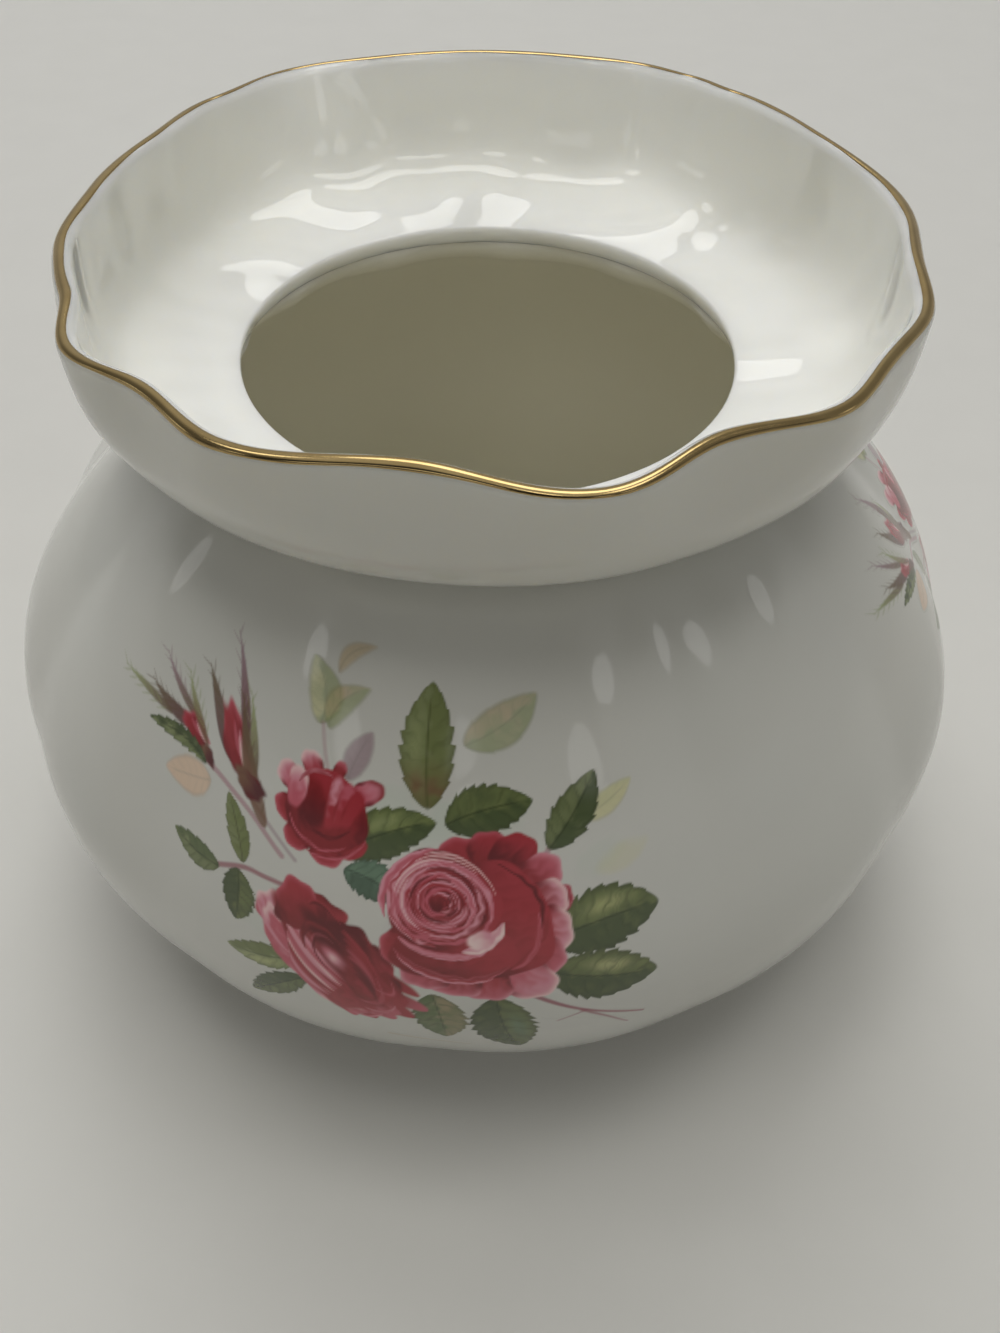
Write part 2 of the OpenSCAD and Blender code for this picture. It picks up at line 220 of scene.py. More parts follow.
def fluted(r, z, azimuth):
    """Points at a radius, height and azimuth, moved by the flutes in the measure of their height."""
    w = np.clip((z - DISH_Z) / (HEIGHT - DISH_Z), 0, None) ** FLUTE_FADE * flute(azimuth)
    return on_azimuth(r + FLUTE_DEPTH * w, z - FLUTE_DROP * w, azimuth)


def mouth_surface(outline, azimuth):
    """Outline carried round the axis, pushed out and let down by flutes that fade towards the throat."""
    return fluted(outline[:, :1], outline[:, 1:], azimuth)


def plain_surface(outline, azimuth):
    """Outline turned round the axis."""
    return on_azimuth(outline[:, :1], outline[:, 1:], azimuth)


# Meshes

def new_piece(name, points, faces, flat=()):
    """Mesh object from points in millimetres and groups of faces, each an array of corners.

    Groups whose place is in flat aren't smoothed, so the smooth ones beside them keep a crisp rim.
    """
    mesh = bpy.data.meshes.new(name)
    sizes = np.concatenate([np.full(len(group), group.shape[1]) for group in faces])
    smooth = np.concatenate([np.full(len(group), i not in flat) for i, group in enumerate(faces)])
    corners = np.concatenate([group.ravel() for group in faces])
    mesh.vertices.add(len(points))
    mesh.vertices.foreach_set("co", (points * MM).astype(np.float32).ravel())
    mesh.loops.add(len(corners))
    mesh.loops.foreach_set("vertex_index", corners.astype(np.int32))
    mesh.polygons.add(len(sizes))
    mesh.polygons.foreach_set("loop_start", (np.cumsum(sizes) - sizes).astype(np.int32))
    mesh.polygons.foreach_set("use_smooth", smooth)
    mesh.update(calc_edges=True)
    edges = np.empty(len(corners), np.int32)
    mesh.loops.foreach_get("edge_index", edges)
    crisp = np.zeros(len(mesh.edges), bool)
    crisp[edges[~np.repeat(smooth, sizes)]] = True
    mesh.edges.foreach_set("use_edge_sharp", crisp)
    obj = bpy.data.objects.new(name, mesh)
    bpy.context.scene.collection.objects.link(obj)
    return obj


def skin_faces(rings, columns, closed):
    """Faces between rings, outward where the outline runs down the outside; closed joins last to first."""
    i = np.arange(rings if closed else rings - 1)[:, None]
    j = np.arange(columns)[None, :]
    here, there = i * columns, (i + 1) % rings * columns
    after = (j + 1) % columns
    return np.stack(np.broadcast_arrays(here + j, there + j, there + after, here + after), -1).reshape(-1, 4)


def around(columns):
    """Azimuths of evenly spaced columns, the first of them on a crown."""
    return FIRST_CROWN + np.arange(columns) * 360 / columns


def turned_loop(name, outline, surface, columns):
    """Closed body: an outline that closes on itself, carried round the axis by a surface function."""
    points = surface(outline, around(columns)).reshape(-1, 3)
    return new_piece(name, points, [skin_faces(len(outline), columns, True)])


def turned_stack(name, outline, surface, columns, first_z, last_z):
    """Closed body: an open outline carried round the axis, closed by a pole on the axis at either end."""
    rings = len(outline)
    points = surface(outline, around(columns)).reshape(-1, 3)
    points = np.vstack([points, [[0, 0, first_z], [0, 0, last_z]]])
    j = np.arange(columns)
    after = (j + 1) % columns
    first_pole, last_pole = rings * columns, rings * columns + 1
    last_ring = (rings - 1) * columns
    start = np.stack([np.full(columns, first_pole), j, after], 1)
    end = np.stack([np.full(columns, last_pole), last_ring + after, last_ring + j], 1)
    return new_piece(name, points, [skin_faces(rings, columns, False), start, end])


def mark_inside(obj, shares, columns, poles=()):
    """Attribute inside: one share a ring and one a pole, from 0 on the outside to 1 on the inside."""
    values = np.concatenate([np.repeat(shares, columns), poles]).astype(np.float32)
    obj.data.attributes.new("inside", "FLOAT", "POINT").data.foreach_set("value", values)
    return obj


# Pieces of china and gold

def make_bowl(columns=456):
    """Bowl: up its inner wall, over the neck, down the lobed outside and across the underside."""
    wall = np.vstack([cubic(SHOULDER, 40), cubic(UNDER, 40)[1:]])
    inner = set_off(wall, -WALL)[::-1]
    floor_run = np.linspace(0.05, 0.95, 10)[:, None]
    floor = np.hstack([floor_run * inner[0, 0], FLOOR_Z + BASE_RISE * (1 - floor_run**2)])
    crease = [neck_at(-NECK_FALL * i / 8) for i in range(8)]
    outer = np.vstack([crease, cubic(SHOULDER, 64), cubic(UNDER, 44)[1:]])
    under_run = np.linspace(1, 0.05, 8)[:, None]
    under = np.hstack([under_run * SEAT_R, FOOT_H + BASE_RISE * (1 - under_run**2)])
    outline = np.vstack([floor, inner, [[NECK_IN_R, NECK_Z]], outer, under])
    bowl = turned_stack("bowl_china", outline, bowl_surface, columns,
                        FLOOR_Z + BASE_RISE, FOOT_H + BASE_RISE)
    return mark_inside(bowl, np.arange(len(outline)) <= len(floor) + len(inner), columns, poles=(1, 0))


def make_mouth(columns=480):
    """Mouth: from the neck crease up the cup, over the rounded lip and down the dish into the throat."""
    neck = [neck_at(90 * i / 6) for i in range(6)]
    cup = cubic(CUP, 44)[:-1]
    lip = round_arc((MOUTH_R - LIP_R, HEIGHT - LIP_R), LIP_R, 0, 180, 18)[:-1]
    outline = np.vstack([neck, cup, lip, cubic(DISH, 44)[:-1], cubic(THROAT, 16)])
    mouth = turned_loop("mouth_collar_china", outline[::-1], mouth_surface, columns)
    # The change from outside to inside lies on the lip, from 30 to 100 degrees round it, under the gold
    first, steps = len(neck) + len(cup) + 3, 7
    inside = np.clip((np.arange(len(outline)) - first) / steps, 0, 1)
    return mark_inside(mouth, inside[::-1], columns)


def make_foot(columns=256):
    """Foot ring: a turned band with rounded edges, whose rounds meet the resting plane."""
    inner_edge = round_arc((SEAT_R + FOOT_ROUND, FOOT_ROUND), FOOT_ROUND, 180, 270, 8)
    outer_edge = round_arc((FOOT_R - FOOT_ROUND, FOOT_ROUND), FOOT_ROUND, 270, 360, 8)
    side = np.linspace(FOOT_ROUND, FOOT_H, 6)[1:]
    outline = np.vstack([
        np.stack([np.full(5, SEAT_R), side[::-1]], 1), inner_edge, outer_edge,
        np.stack([np.full(5, FOOT_R), side], 1)])
    return turned_loop("foot_ring_china", outline[::-1], plain_surface, columns)


def make_gold(columns=720):
    """Gold edge: a thin film over the lip whose brushed borders wander by a few degrees round the mouth."""
    azimuth = around(columns)
    a = np.radians(azimuth)
    low = GOLD_LOW + 4 * np.sin(5 * a + 1) + 3 * np.sin(13 * a) + 2 * np.sin(29 * a + 2)
    high = GOLD_HIGH + 5 * np.sin(4 * a + 2) + 3 * np.sin(11 * a + 1) + 2 * np.sin(31 * a)
    steps = 14
    share = np.linspace(0, 1, steps + 1)[:, None]
    turn = np.radians(low + (high - low) * share)
    lift = GOLD_LIFT * np.clip(6 * np.minimum(share, 1 - share), 0.1, 1)
    over = LIP_R + lift
    below = LIP_R - GOLD_LIFT
    r = np.vstack([over * np.cos(turn), below * np.cos(turn)[::-1]]) + MOUTH_R - LIP_R
    z = np.vstack([over * np.sin(turn), below * np.sin(turn)[::-1]]) + HEIGHT - LIP_R
    points = fluted(r, z, azimuth)[::-1].reshape(-1, 3)
    return new_piece("gilt_edge_gold", points, [skin_faces(2 * (steps + 1), columns, True)])


# Materials

def tint(hex_colour):
    """sRGB hex colour as three numbers from 0 to 1."""
    return np.array([int(hex_colour[i:i + 2], 16) / 255 for i in (0, 2, 4)])


def unbend(c):
    """Linear light of sRGB values: a straight foot below 0.04045, and a power of 2.4 above."""
    return np.where(c <= 0.04045, c / 12.92, ((c + 0.055) / 1.055) ** 2.4)


def linear(hex_colour):
    """Linear RGBA of an sRGB hex colour."""
    return (*unbend(tint(hex_colour)), 1.0)


def add_node(tree, kind, inputs=None, **settings):
    """Adds a shader node; each input is a value, or a socket of another node to link."""
    node = tree.nodes.new(kind)
    for name, value in settings.items():
        setattr(node, name, value)
    for name, value in (inputs or {}).items():
        if isinstance(value, bpy.types.NodeSocket):
            tree.links.new(value, node.inputs[name])
        else:
            node.inputs[name].default_value = value
    return node


def new_material(name):
    """Empty node material and its tree."""
    material = bpy.data.materials.new(name)
    material.use_nodes = True
    material.node_tree.nodes.clear()
    return material, material.node_tree


def per_metre(size_mm):
    """Noise scale for features of a size in millimetres on coordinates in metres."""
    return 1 / (size_mm * MM)


def shaded_china_colour(tree, place):
    """Warm white of bone china, painted darker as shade, with a very faint cloudiness from the glaze's
    uneven thickness.
    """
    cloud = add_node(tree, "ShaderNodeTexNoise", {"Vector": place, "Scale": per_metre(CHINA_CLOUD)})
    return add_node(tree, "ShaderNodeMix", {
        "Factor": cloud.outputs["Fac"], 6: linear(OUTSIDE_SHADED_WARM), 7: linear(OUTSIDE_SHADED_COOL)},
        data_type="RGBA").outputs[2]


def glaze_bump(tree, place, size=GLAZE_WAVE, depth=GLAZE_WAVE_DEPTH, share=1.0):
    """Normal of the glaze: waves where it pooled, longer up the wall than round it, and a fine ripple."""
    drawn_out = add_node(tree, "ShaderNodeVectorMath", {0: place, 1: WAVE_STRETCH}, operation="MULTIPLY")
    pooled = add_node(tree, "ShaderNodeTexNoise", {
        "Vector": drawn_out.outputs[0], "Scale": per_metre(size), "Detail": 0.0})
    waves = add_node(tree, "ShaderNodeBump", {
        "Height": pooled.outputs["Fac"], "Strength": share, "Distance": depth * MM})
    fine = add_node(tree, "ShaderNodeTexNoise", {"Vector": place, "Scale": per_metre(GLAZE_RIPPLE)})
    ripple = add_node(tree, "ShaderNodeBump", {
        "Height": fine.outputs["Fac"], "Strength": 1.0, "Distance": GLAZE_RIPPLE_DEPTH * MM,
        "Normal": waves.outputs[0]})
    return ripple.outputs[0]


def glazed_china(name, inner, inner_gloss, translucent=0.0, wave=GLAZE_WAVE, wave_depth=GLAZE_WAVE_DEPTH,
                 outer_share=1.0):
    """Clear glaze over bone china: a warm white body under a hard gloss with soft waves.

    Inside, the colour is painted whiter in the dish as light and creamier in the bowl as warm light, and the
    glaze has a gloss of its own. The thin wall of the mouth lets light through; the painted bowl is taken as
    opaque. The outside has a share of the waves' height.
    """
    material, tree = new_material(name)
    place = add_node(tree, "ShaderNodeTexCoord").outputs["Object"]
    inside = add_node(tree, "ShaderNodeAttribute", attribute_name="inside").outputs["Fac"]
    colour = add_node(tree, "ShaderNodeMix", {
        "Factor": inside, 6: shaded_china_colour(tree, place), 7: linear(inner)}, data_type="RGBA").outputs[2]
    gloss = add_node(tree, "ShaderNodeMapRange", {
        "Value": inside, "To Min": GLAZE_ROUGHNESS, "To Max": inner_gloss}).outputs[0]
    share = add_node(tree, "ShaderNodeMapRange", {
        "Value": inside, "To Min": outer_share, "To Max": 1.0}).outputs[0]
    shader = add_node(tree, "ShaderNodeBsdfPrincipled", {
        "Base Color": colour, "Roughness": gloss, "IOR": GLAZE_IOR,
        "Normal": glaze_bump(tree, place, wave, wave_depth, share),
        "Subsurface Weight": translucent, "Subsurface Scale": MM, "Subsurface Radius": CHINA_DEPTH})
    add_node(tree, "ShaderNodeOutputMaterial", {"Surface": shader.outputs[0]})
    return material


def wiped_foot_china():
    """Foot ring: glazed sides, and a resting edge wiped bare before firing, which looks dull and greyer."""
    material, tree = new_material("wiped_foot_bone_china")
    place = add_node(tree, "ShaderNodeTexCoord").outputs["Object"]
    height = add_node(tree, "ShaderNodeSeparateXYZ", {"Vector": place}).outputs["Z"]
    bare = add_node(tree, "ShaderNodeMapRange", {
        "Value": height, "From Min": 0.7 * FOOT_ROUND * MM, "From Max": 0.3 * FOOT_ROUND * MM}).outputs[0]
    speck = add_node(tree, "ShaderNodeTexNoise", {
        "Vector": place, "Scale": per_metre(BARE_SPECK)}).outputs["Fac"]
    dusty = add_node(tree, "ShaderNodeMix", {"Factor": speck, 6: linear(BARE_DARK), 7: linear(BARE_PALE)},
                     data_type="RGBA").outputs[2]
    colour = add_node(tree, "ShaderNodeMix", {"Factor": bare, 6: shaded_china_colour(tree, place), 7: dusty},
                      data_type="RGBA").outputs[2]
    gloss = add_node(tree, "ShaderNodeMapRange", {
        "Value": bare, "To Min": GLAZE_ROUGHNESS, "To Max": BARE_ROUGHNESS}).outputs[0]
    grit = add_node(tree, "ShaderNodeBump", {
        "Height": speck, "Strength": bare, "Distance": BARE_SPECK_DEPTH * MM})
    shader = add_node(tree, "ShaderNodeBsdfPrincipled", {
        "Base Color": colour, "Roughness": gloss, "IOR": GLAZE_IOR, "Normal": grit.outputs[0]})
    add_node(tree, "ShaderNodeOutputMaterial", {"Surface": shader.outputs[0]})
    return material


def fired_gold():
    """Burnished bright gold, brushed on by hand: a soft metal gloss with faint brush marks round the lip."""
    material, tree = new_material("fired_gold")
    place = add_node(tree, "ShaderNodeTexCoord").outputs["Object"]
    cloud = add_node(tree, "ShaderNodeTexNoise", {
        "Vector": place, "Scale": per_metre(GOLD_CLOUD)}).outputs["Fac"]
    colour = add_node(tree, "ShaderNodeMix", {"Factor": cloud, 6: linear(GOLD_DARK), 7: linear(GOLD_PALE)},
                      data_type="RGBA").outputs[2]
    gloss = add_node(tree, "ShaderNodeMapRange", {
        "Value": cloud, "To Min": GOLD_GLOSSY, "To Max": GOLD_DULL}).outputs[0]
    brushed = add_node(tree, "ShaderNodeTexNoise", {"Vector": place, "Scale": per_metre(BRUSH_MARK)})
    marks = add_node(tree, "ShaderNodeBump", {
        "Height": brushed.outputs["Fac"], "Strength": 1.0, "Distance": BRUSH_MARK_DEPTH * MM})
    shader = add_node(tree, "ShaderNodeBsdfPrincipled", {
        "Base Color": colour, "Metallic": 1.0, "Roughness": gloss, "Normal": marks.outputs[0]})
    add_node(tree, "ShaderNodeOutputMaterial", {"Surface": shader.outputs[0]})
    return material


def rose_enamels():
    """Printed enamels fired onto the glaze: the painted colours, a little less glossy than the china."""
    material, tree = new_material("rose_enamels")
    place = add_node(tree, "ShaderNodeTexCoord").outputs["Object"]
    paint = add_node(tree, "ShaderNodeAttribute", attribute_name="paint")
    colour = add_node(tree, "ShaderNodeMix", {
        "Factor": paint.outputs["Alpha"], 6: shaded_china_colour(tree, place), 7: paint.outputs["Color"]},
        data_type="RGBA").outputs[2]
    gloss = add_node(tree, "ShaderNodeMapRange", {
        "Value": paint.outputs["Alpha"], "To Min": GLAZE_ROUGHNESS, "To Max": ENAMEL_ROUGHNESS}).outputs[0]
    shader = add_node(tree, "ShaderNodeBsdfPrincipled", {
        "Base Color": colour, "Roughness": gloss, "IOR": GLAZE_IOR, "Normal": glaze_bump(tree, place)})
    add_node(tree, "ShaderNodeOutputMaterial", {"Surface": shader.outputs[0]})
    return material


def table_top():
    """Pale painted board under the vase: matt, with a faint mottling."""
    material, tree = new_material("pale_board")
    place = add_node(tree, "ShaderNodeTexCoord").outputs["Object"]
    mottling = add_node(tree, "ShaderNodeTexNoise", {
        "Vector": place, "Scale": per_metre(BOARD_MOTTLING), "Detail": 4.0})
    colour = add_node(tree, "ShaderNodeMix", {
        "Factor": mottling.outputs["Fac"], 6: linear(BOARD_DARK), 7: linear(BOARD_PALE)},
        data_type="RGBA").outputs[2]
    shader = add_node(tree, "ShaderNodeBsdfPrincipled", {"Base Color": colour, "Roughness": BOARD_ROUGHNESS})
    add_node(tree, "ShaderNodeOutputMaterial", {"Surface": shader.outputs[0]})
    return material


# Room, lamps and camera

# Half the width of the floor in millimetres
FLOOR_HALF = 4000.0

# Sky: its colour, its strength in front of the vase and behind it, and the share of the way from one side to
# the other in which it changes
SKY_COLOUR, SKY_FRONT, SKY_BEHIND, SKY_RUN = "f2f2f0", 0.05, 0.29, 0.9

# Pale wall round the room: its strength, and the sines of the elevations where it ends and where it is full
ROOM_WALL, ROOM_WALL_TOP, ROOM_WALL_FULL = 0.42, 0.38, 0.25

# Patches of the sky, laid over one another: azimuth from behind the vase towards +X and elevation, inner and
# outer angle, all in degrees, and strength. First come soft shades and glows, then windows with crisp edges
SKY_PATCHES = (
    (-95, 28, 20, 45, 0.15), (95, 28, 20, 45, 0.25), (-172, 40, 36, 41, 0.03), (-101, 35, 7, 9, 0.07),
    (106, 40, 7, 9, 0.07), (-8, 38, 10, 35, 0.55), (0, 88, 14, 34, 0.62),
    (2, 60, 13, 13.6, 3.4), (75, 68, 7, 7.5, 3.2), (-60, 62, 6, 6.5, 3.2), (150, 32, 6, 7, 1.0),
    (-152, 34, 6, 7, 1.0), (180, 76, 5, 6, 3.2), (-117, 40, 4, 5, 1.5), (-84, 27, 4, 5, 1.2),
    (128, 41, 4, 5, 1.6), (86, 27, 4, 5, 1.3))

# Lamps: name, place, target and size in millimetres, watts and colour
LAMPS = (
    ("window_behind", (-350, 1100, 1150), (0, 0, 60), (1300, 800), 5.2, "fbfbff"),
    ("lamp_above", (-40, -60, 1110), (0, 60, 60), (600, 500), 2.15, "fffdf8"),
    ("fill_in_front", (-150, -900, 900), (0, 0, 60), (900, 700), 1.3, "fffdf8"))


def aim(position, target):
    """Matrix that stands at a position in millimetres and looks at a target."""
    turn = (Vector(target) - Vector(position)).to_track_quat("-Z", "Y").to_matrix().to_4x4()
    return Matrix.Translation(Vector(position) * MM) @ turn


def add_lamp(name, position, target, size, watts, colour):
    """Soft rectangular lamp in millimetres; the glaze mirrors the softer sky instead of its hard edges."""
    lamp = bpy.data.lights.new(name, "AREA")
    lamp.shape = "RECTANGLE"
    lamp.size, lamp.size_y = size[0] * MM, size[1] * MM
    lamp.energy = watts
    lamp.color = linear(colour)[:3]
    obj = bpy.data.objects.new(name, lamp)
    obj.matrix_world = aim(position, target)
    obj.visible_glossy = False
    bpy.context.scene.collection.objects.link(obj)


def sky_patch(tree, before, direction, azimuth, elevation, inner, outer, strength):
    """Sky strength with a round patch mixed over it, full within its inner angle and gone at its outer."""
    a, e = math.radians(azimuth), math.radians(elevation)
    middle = (math.sin(a) * math.cos(e), math.cos(a) * math.cos(e), math.sin(e))
    near = add_node(tree, "ShaderNodeVectorMath", {0: direction, 1: middle},
                    operation="DOT_PRODUCT").outputs["Value"]
    share = add_node(tree, "ShaderNodeMapRange", {
        "Value": near, "From Min": math.cos(math.radians(outer)), "From Max": math.cos(math.radians(inner))},
        interpolation_type="SMOOTHSTEP").outputs[0]
    return add_node(tree, "ShaderNodeMix", {"Factor": share, 2: before, 3: strength}).outputs[0]


def make_room():
    """Pale floor, a soft sky brighter behind the vase, a pale wall at its foot, and the lamps."""
    corners = FLOOR_HALF * np.array([[-1, -1, 0], [1, -1, 0], [1, 1, 0], [-1, 1, 0]])
    floor = new_piece("floor", corners, [np.array([[0, 1, 2, 3]])])
    floor.data.materials.append(table_top())
    world = bpy.data.worlds.new("soft_room")
    world.use_nodes = True
    tree = world.node_tree
    tree.nodes.clear()
    direction = add_node(tree, "ShaderNodeTexCoord").outputs["Generated"]
    up = add_node(tree, "ShaderNodeSeparateXYZ", {"Vector": direction})
    strength = add_node(tree, "ShaderNodeMapRange", {
        "Value": up.outputs["Y"], "From Min": -SKY_RUN, "From Max": SKY_RUN, "To Min": SKY_FRONT,
        "To Max": SKY_BEHIND}, interpolation_type="SMOOTHSTEP").outputs[0]
    for patch in SKY_PATCHES:
        strength = sky_patch(tree, strength, direction, *patch)
    # The pale wall is there for the eye, the gloss and the gold alone, and adds no light to the vase
    low = add_node(tree, "ShaderNodeMapRange", {
        "Value": up.outputs["Z"], "From Min": ROOM_WALL_TOP, "From Max": ROOM_WALL_FULL},
        interpolation_type="SMOOTHSTEP").outputs[0]
    ray = add_node(tree, "ShaderNodeLightPath")
    seen = add_node(tree, "ShaderNodeMath", {
        0: ray.outputs["Is Camera Ray"], 1: ray.outputs["Is Glossy Ray"]}, operation="MAXIMUM").outputs[0]
    seen = add_node(tree, "ShaderNodeMath", {
        0: seen, 1: ray.outputs["Is Transmission Ray"]}, operation="MAXIMUM").outputs[0]
    wall = add_node(tree, "ShaderNodeMath", {0: low, 1: seen}, operation="MULTIPLY").outputs[0]
    strength = add_node(tree, "ShaderNodeMix", {"Factor": wall, 2: strength, 3: ROOM_WALL}).outputs[0]
    sky = add_node(tree, "ShaderNodeBackground", {"Color": linear(SKY_COLOUR), "Strength": strength})
    add_node(tree, "ShaderNodeOutputWorld", {"Surface": sky.outputs[0]})
    bpy.context.scene.world = world
    for lamp in LAMPS:
        add_lamp(*lamp)


def make_camera():
    """Camera of the photograph: above and in front, looking down, with a small yaw and roll."""
    pitch, yaw, roll = (math.radians(a) for a in (CAMERA_DOWN, CAMERA_YAW, CAMERA_ROLL))
    forward = Vector((math.sin(yaw) * math.cos(pitch), math.cos(yaw) * math.cos(pitch), -math.sin(pitch)))
    right = Vector((math.cos(yaw), -math.sin(yaw), 0))
    up = right.cross(forward)
    across = right * math.cos(roll) + up * math.sin(roll)
    upright = up * math.cos(roll) - right * math.sin(roll)
    camera = bpy.data.cameras.new("photo_camera")
    camera.sensor_fit = "HORIZONTAL"
    camera.lens = CAMERA_LENS_SHARE * camera.sensor_width
    camera.clip_start = 0.01
    obj = bpy.data.objects.new("photo_camera", camera)
    place = Matrix((across, upright, -forward)).transposed().to_4x4()
    place.translation = Vector(CAMERA_PLACE) * MM
    obj.matrix_world = place
    bpy.context.scene.collection.objects.link(obj)
    bpy.context.scene.camera = obj


# Painting of a spray, on a flat sheet in millimetres: x round the bowl, y up its wall from the widest place

# Enamel colours
DEEP, CRIMSON, RED, ROSE, PINK, BLUSH = map(tint, "651c20 8b2a2e a8373f c4606e db96a3 f3d6d3".split())
FOREST, MOSS, SAGE, LIME, BLUE = map(tint, "525d3d 778050 9ba473 c6c78e 566a58".split())
BARK, MAROON, MAUVE, TAN, STEM, UMBER = map(tint, "7b5a44 5c2c2d b18a90 c4b08b 9a5763 6d5a42".split())
PEACH, STRAW, DUSK, WASH, HAZE = map(tint, "e3c3a4 d3cf9a 9c8089 c2cdbe c2bfbf".split())


def smooth_step(value, low, high):
    """0 below low, 1 above high, and an S-shaped run between them."""
    t = np.clip((value - low) / (high - low), 0, 1)
    return t * t * (3 - 2 * t)


def blend(first, second, share):
    """Mix of two colours by a share at each point."""
    return first + (second - first) * np.clip(share, 0, 1)[:, None]


def mottle(x, y, size, seed=0.0):
    """Soft unevenness from about -1 to 1: sine waves in turned directions, bent by one another."""
    total = np.zeros_like(x)
    for k in range(5):
        a = 2.4 * k + seed
        f = 2 * np.pi / size * (0.7 + 0.23 * k)
        bend = 1.3 * np.sin(0.43 * f * (y * np.cos(a) - x * np.sin(a)) + seed)
        total += np.sin(f * (x * np.cos(a) + y * np.sin(a)) + 1.7 * k + 3 * seed + bend)
    return total / 3.2


class Sheet:
    """Transfer sheet: the points of a flat grid with the colour and the cover of the enamel at each."""

    def __init__(self, x, y):
        self.x, self.y = x, y
        self.colour = np.tile(tint(OUTSIDE_SHADED_WARM), (len(x), 1))
        self.cover = np.zeros(len(x))

    def near(self, x, y, reach):
        """Points within a square reach of a place."""
        return np.flatnonzero((np.abs(self.x - x) < reach) & (np.abs(self.y - y) < reach))

    def lay(self, points, colour, strength):
        """Lays a colour over what is painted at some points, by a strength from 0 to 1."""
        w = np.clip(strength, 0, 1)
        here = self.cover[points]
        total = 1 - (1 - here) * (1 - w)
        share = (w / np.maximum(total, 1e-6))[:, None]
        self.colour[points] = self.colour[points] * (1 - share) + colour * share
        self.cover[points] = total


def along_axis(sheet, base, tip, bend):
    """Places along a bowed mid line, 0 at its base and 1 at its tip, and across it in millimetres."""
    (x0, y0), (x1, y1) = base, tip
    dx, dy = x1 - x0, y1 - y0
    length = math.hypot(dx, dy)
    points = sheet.near((x0 + x1) / 2, (y0 + y1) / 2, 0.75 * length + abs(bend) + 1.5)
    x, y = sheet.x[points] - x0, sheet.y[points] - y0
    t = (x * dx + y * dy) / length**2
    inside = np.clip(t, 0, 1)
    return points, t, (y * dx - x * dy) / length - 4 * bend * inside * (1 - inside)


def spindle(t, full, sharp):
    """Half width along an axis: t to a power times (1 - t) to a power, scaled to reach 1."""
    peak = full / (full + sharp)
    return t**full * (1 - t) ** sharp / (peak**full * (1 - peak) ** sharp)


def paint_leaf(sheet, base, tip, half_width, light, dark, warm=None, glow=None, bend=0.0, teeth=7,
               tooth=0.16, soft=0.25, strength=1.0, veins=0.42, seed=0.0):
    """Serrated rose leaf: one half in light and one in shade, with a rib, side veins and a darker rim."""
    points, t, s = along_axis(sheet, base, tip, bend)
    x, y = sheet.x[points], sheet.y[points]
    run = np.clip(t, 0.0005, 0.9995)
    uneven = mottle(x, y, 2.2, seed)
    turn = run * teeth + 0.17 * np.sign(s) + 0.22 * np.sin(5 * run + seed + np.sign(s))
    bite = 1 + 0.45 * np.sin(4.7 * np.floor(turn) + seed)
    jagged = 1 + tooth * bite * (turn % 1 - 0.6) * np.clip(4 * run, 0, 1)
    half = half_width * spindle(run, 0.72, 0.85) * jagged
    out = np.abs(s) / np.maximum(half, 0.02)
    inside = smooth_step(half - np.abs(s), -soft / 2, soft / 2)
    inside *= smooth_step(t, -0.02, 0.03) * smooth_step(1 - t, -0.02, 0.03)
    sweep = 6.5 * run - 1.6 * out * (0.35 + 0.4 * run) + 0.16 * uneven + 0.4 * np.sign(s)
    brush = np.sin(19 * sweep + 2 * uneven) * (0.6 + 0.4 * np.sin(2.1 * sweep + seed))
    patch = mottle(x, y, 4.2, seed + 2)
    side = smooth_step(s + 0.4 * uneven, -0.4, 0.4)
    lit = 0.66 * side + 0.12 * uneven + 0.22 * patch + 0.07 * brush
    colour = blend(np.tile(dark, (len(x), 1)), light, lit)
    vein = np.exp(-((sweep % 1 - 0.5) / 0.15) ** 2) * (0.55 + 0.45 * patch)
    vein *= smooth_step(out, 0.05, 0.2) * smooth_step(1 - out, 0.05, 0.3)
    colour = blend(colour, 0.72 * dark, veins * vein)
    if glow is not None:
        spot = np.exp(-((run - 0.52) / 0.2) ** 2 - ((s / half_width - 0.42) / 0.26) ** 2)
        colour = blend(colour, glow, spot * (0.62 - 0.3 * vein + 0.12 * brush))
    if warm is not None:
        colour = blend(colour, warm, 0.75 * np.exp(-((run - 0.16) / 0.15) ** 2) * (0.7 + 0.3 * uneven))
    rib = np.exp(-(s / 0.11) ** 2) * smooth_step(1 - run, 0.02, 0.3)
    colour = blend(colour, 0.6 * dark, 1.3 * veins * rib)
    rim = 0.4 * smooth_step(out, 0.72, 1.0) + 0.3 * smooth_step(0.16 - run, 0, 0.16)
    sheet.lay(points, blend(colour, 0.7 * dark, rim), inside * strength)


def paint_stroke(sheet, base, tip, half_width, colour, end=None, bend=0.0, soft=0.3, strength=1.0,
                 full=0.5, sharp=0.9):
    """Tapered brush mark from base to tip, which may turn to a second colour on the way."""
    points, t, s = along_axis(sheet, base, tip, bend)
    run = np.clip(t, 0.0005, 0.9995)
    half = half_width * spindle(run, full, sharp)
    inside = smooth_step(half - np.abs(s), -0.6 * soft, 0.6 * soft)
    inside *= smooth_step(t, -0.02, 0.02) * smooth_step(1 - t, -0.02, 0.02)
    tone = np.tile(colour, (len(run), 1))
    if end is not None:
        tone = blend(tone, end, smooth_step(run, 0.1, 0.9))
    sheet.lay(points, tone, inside * strength)


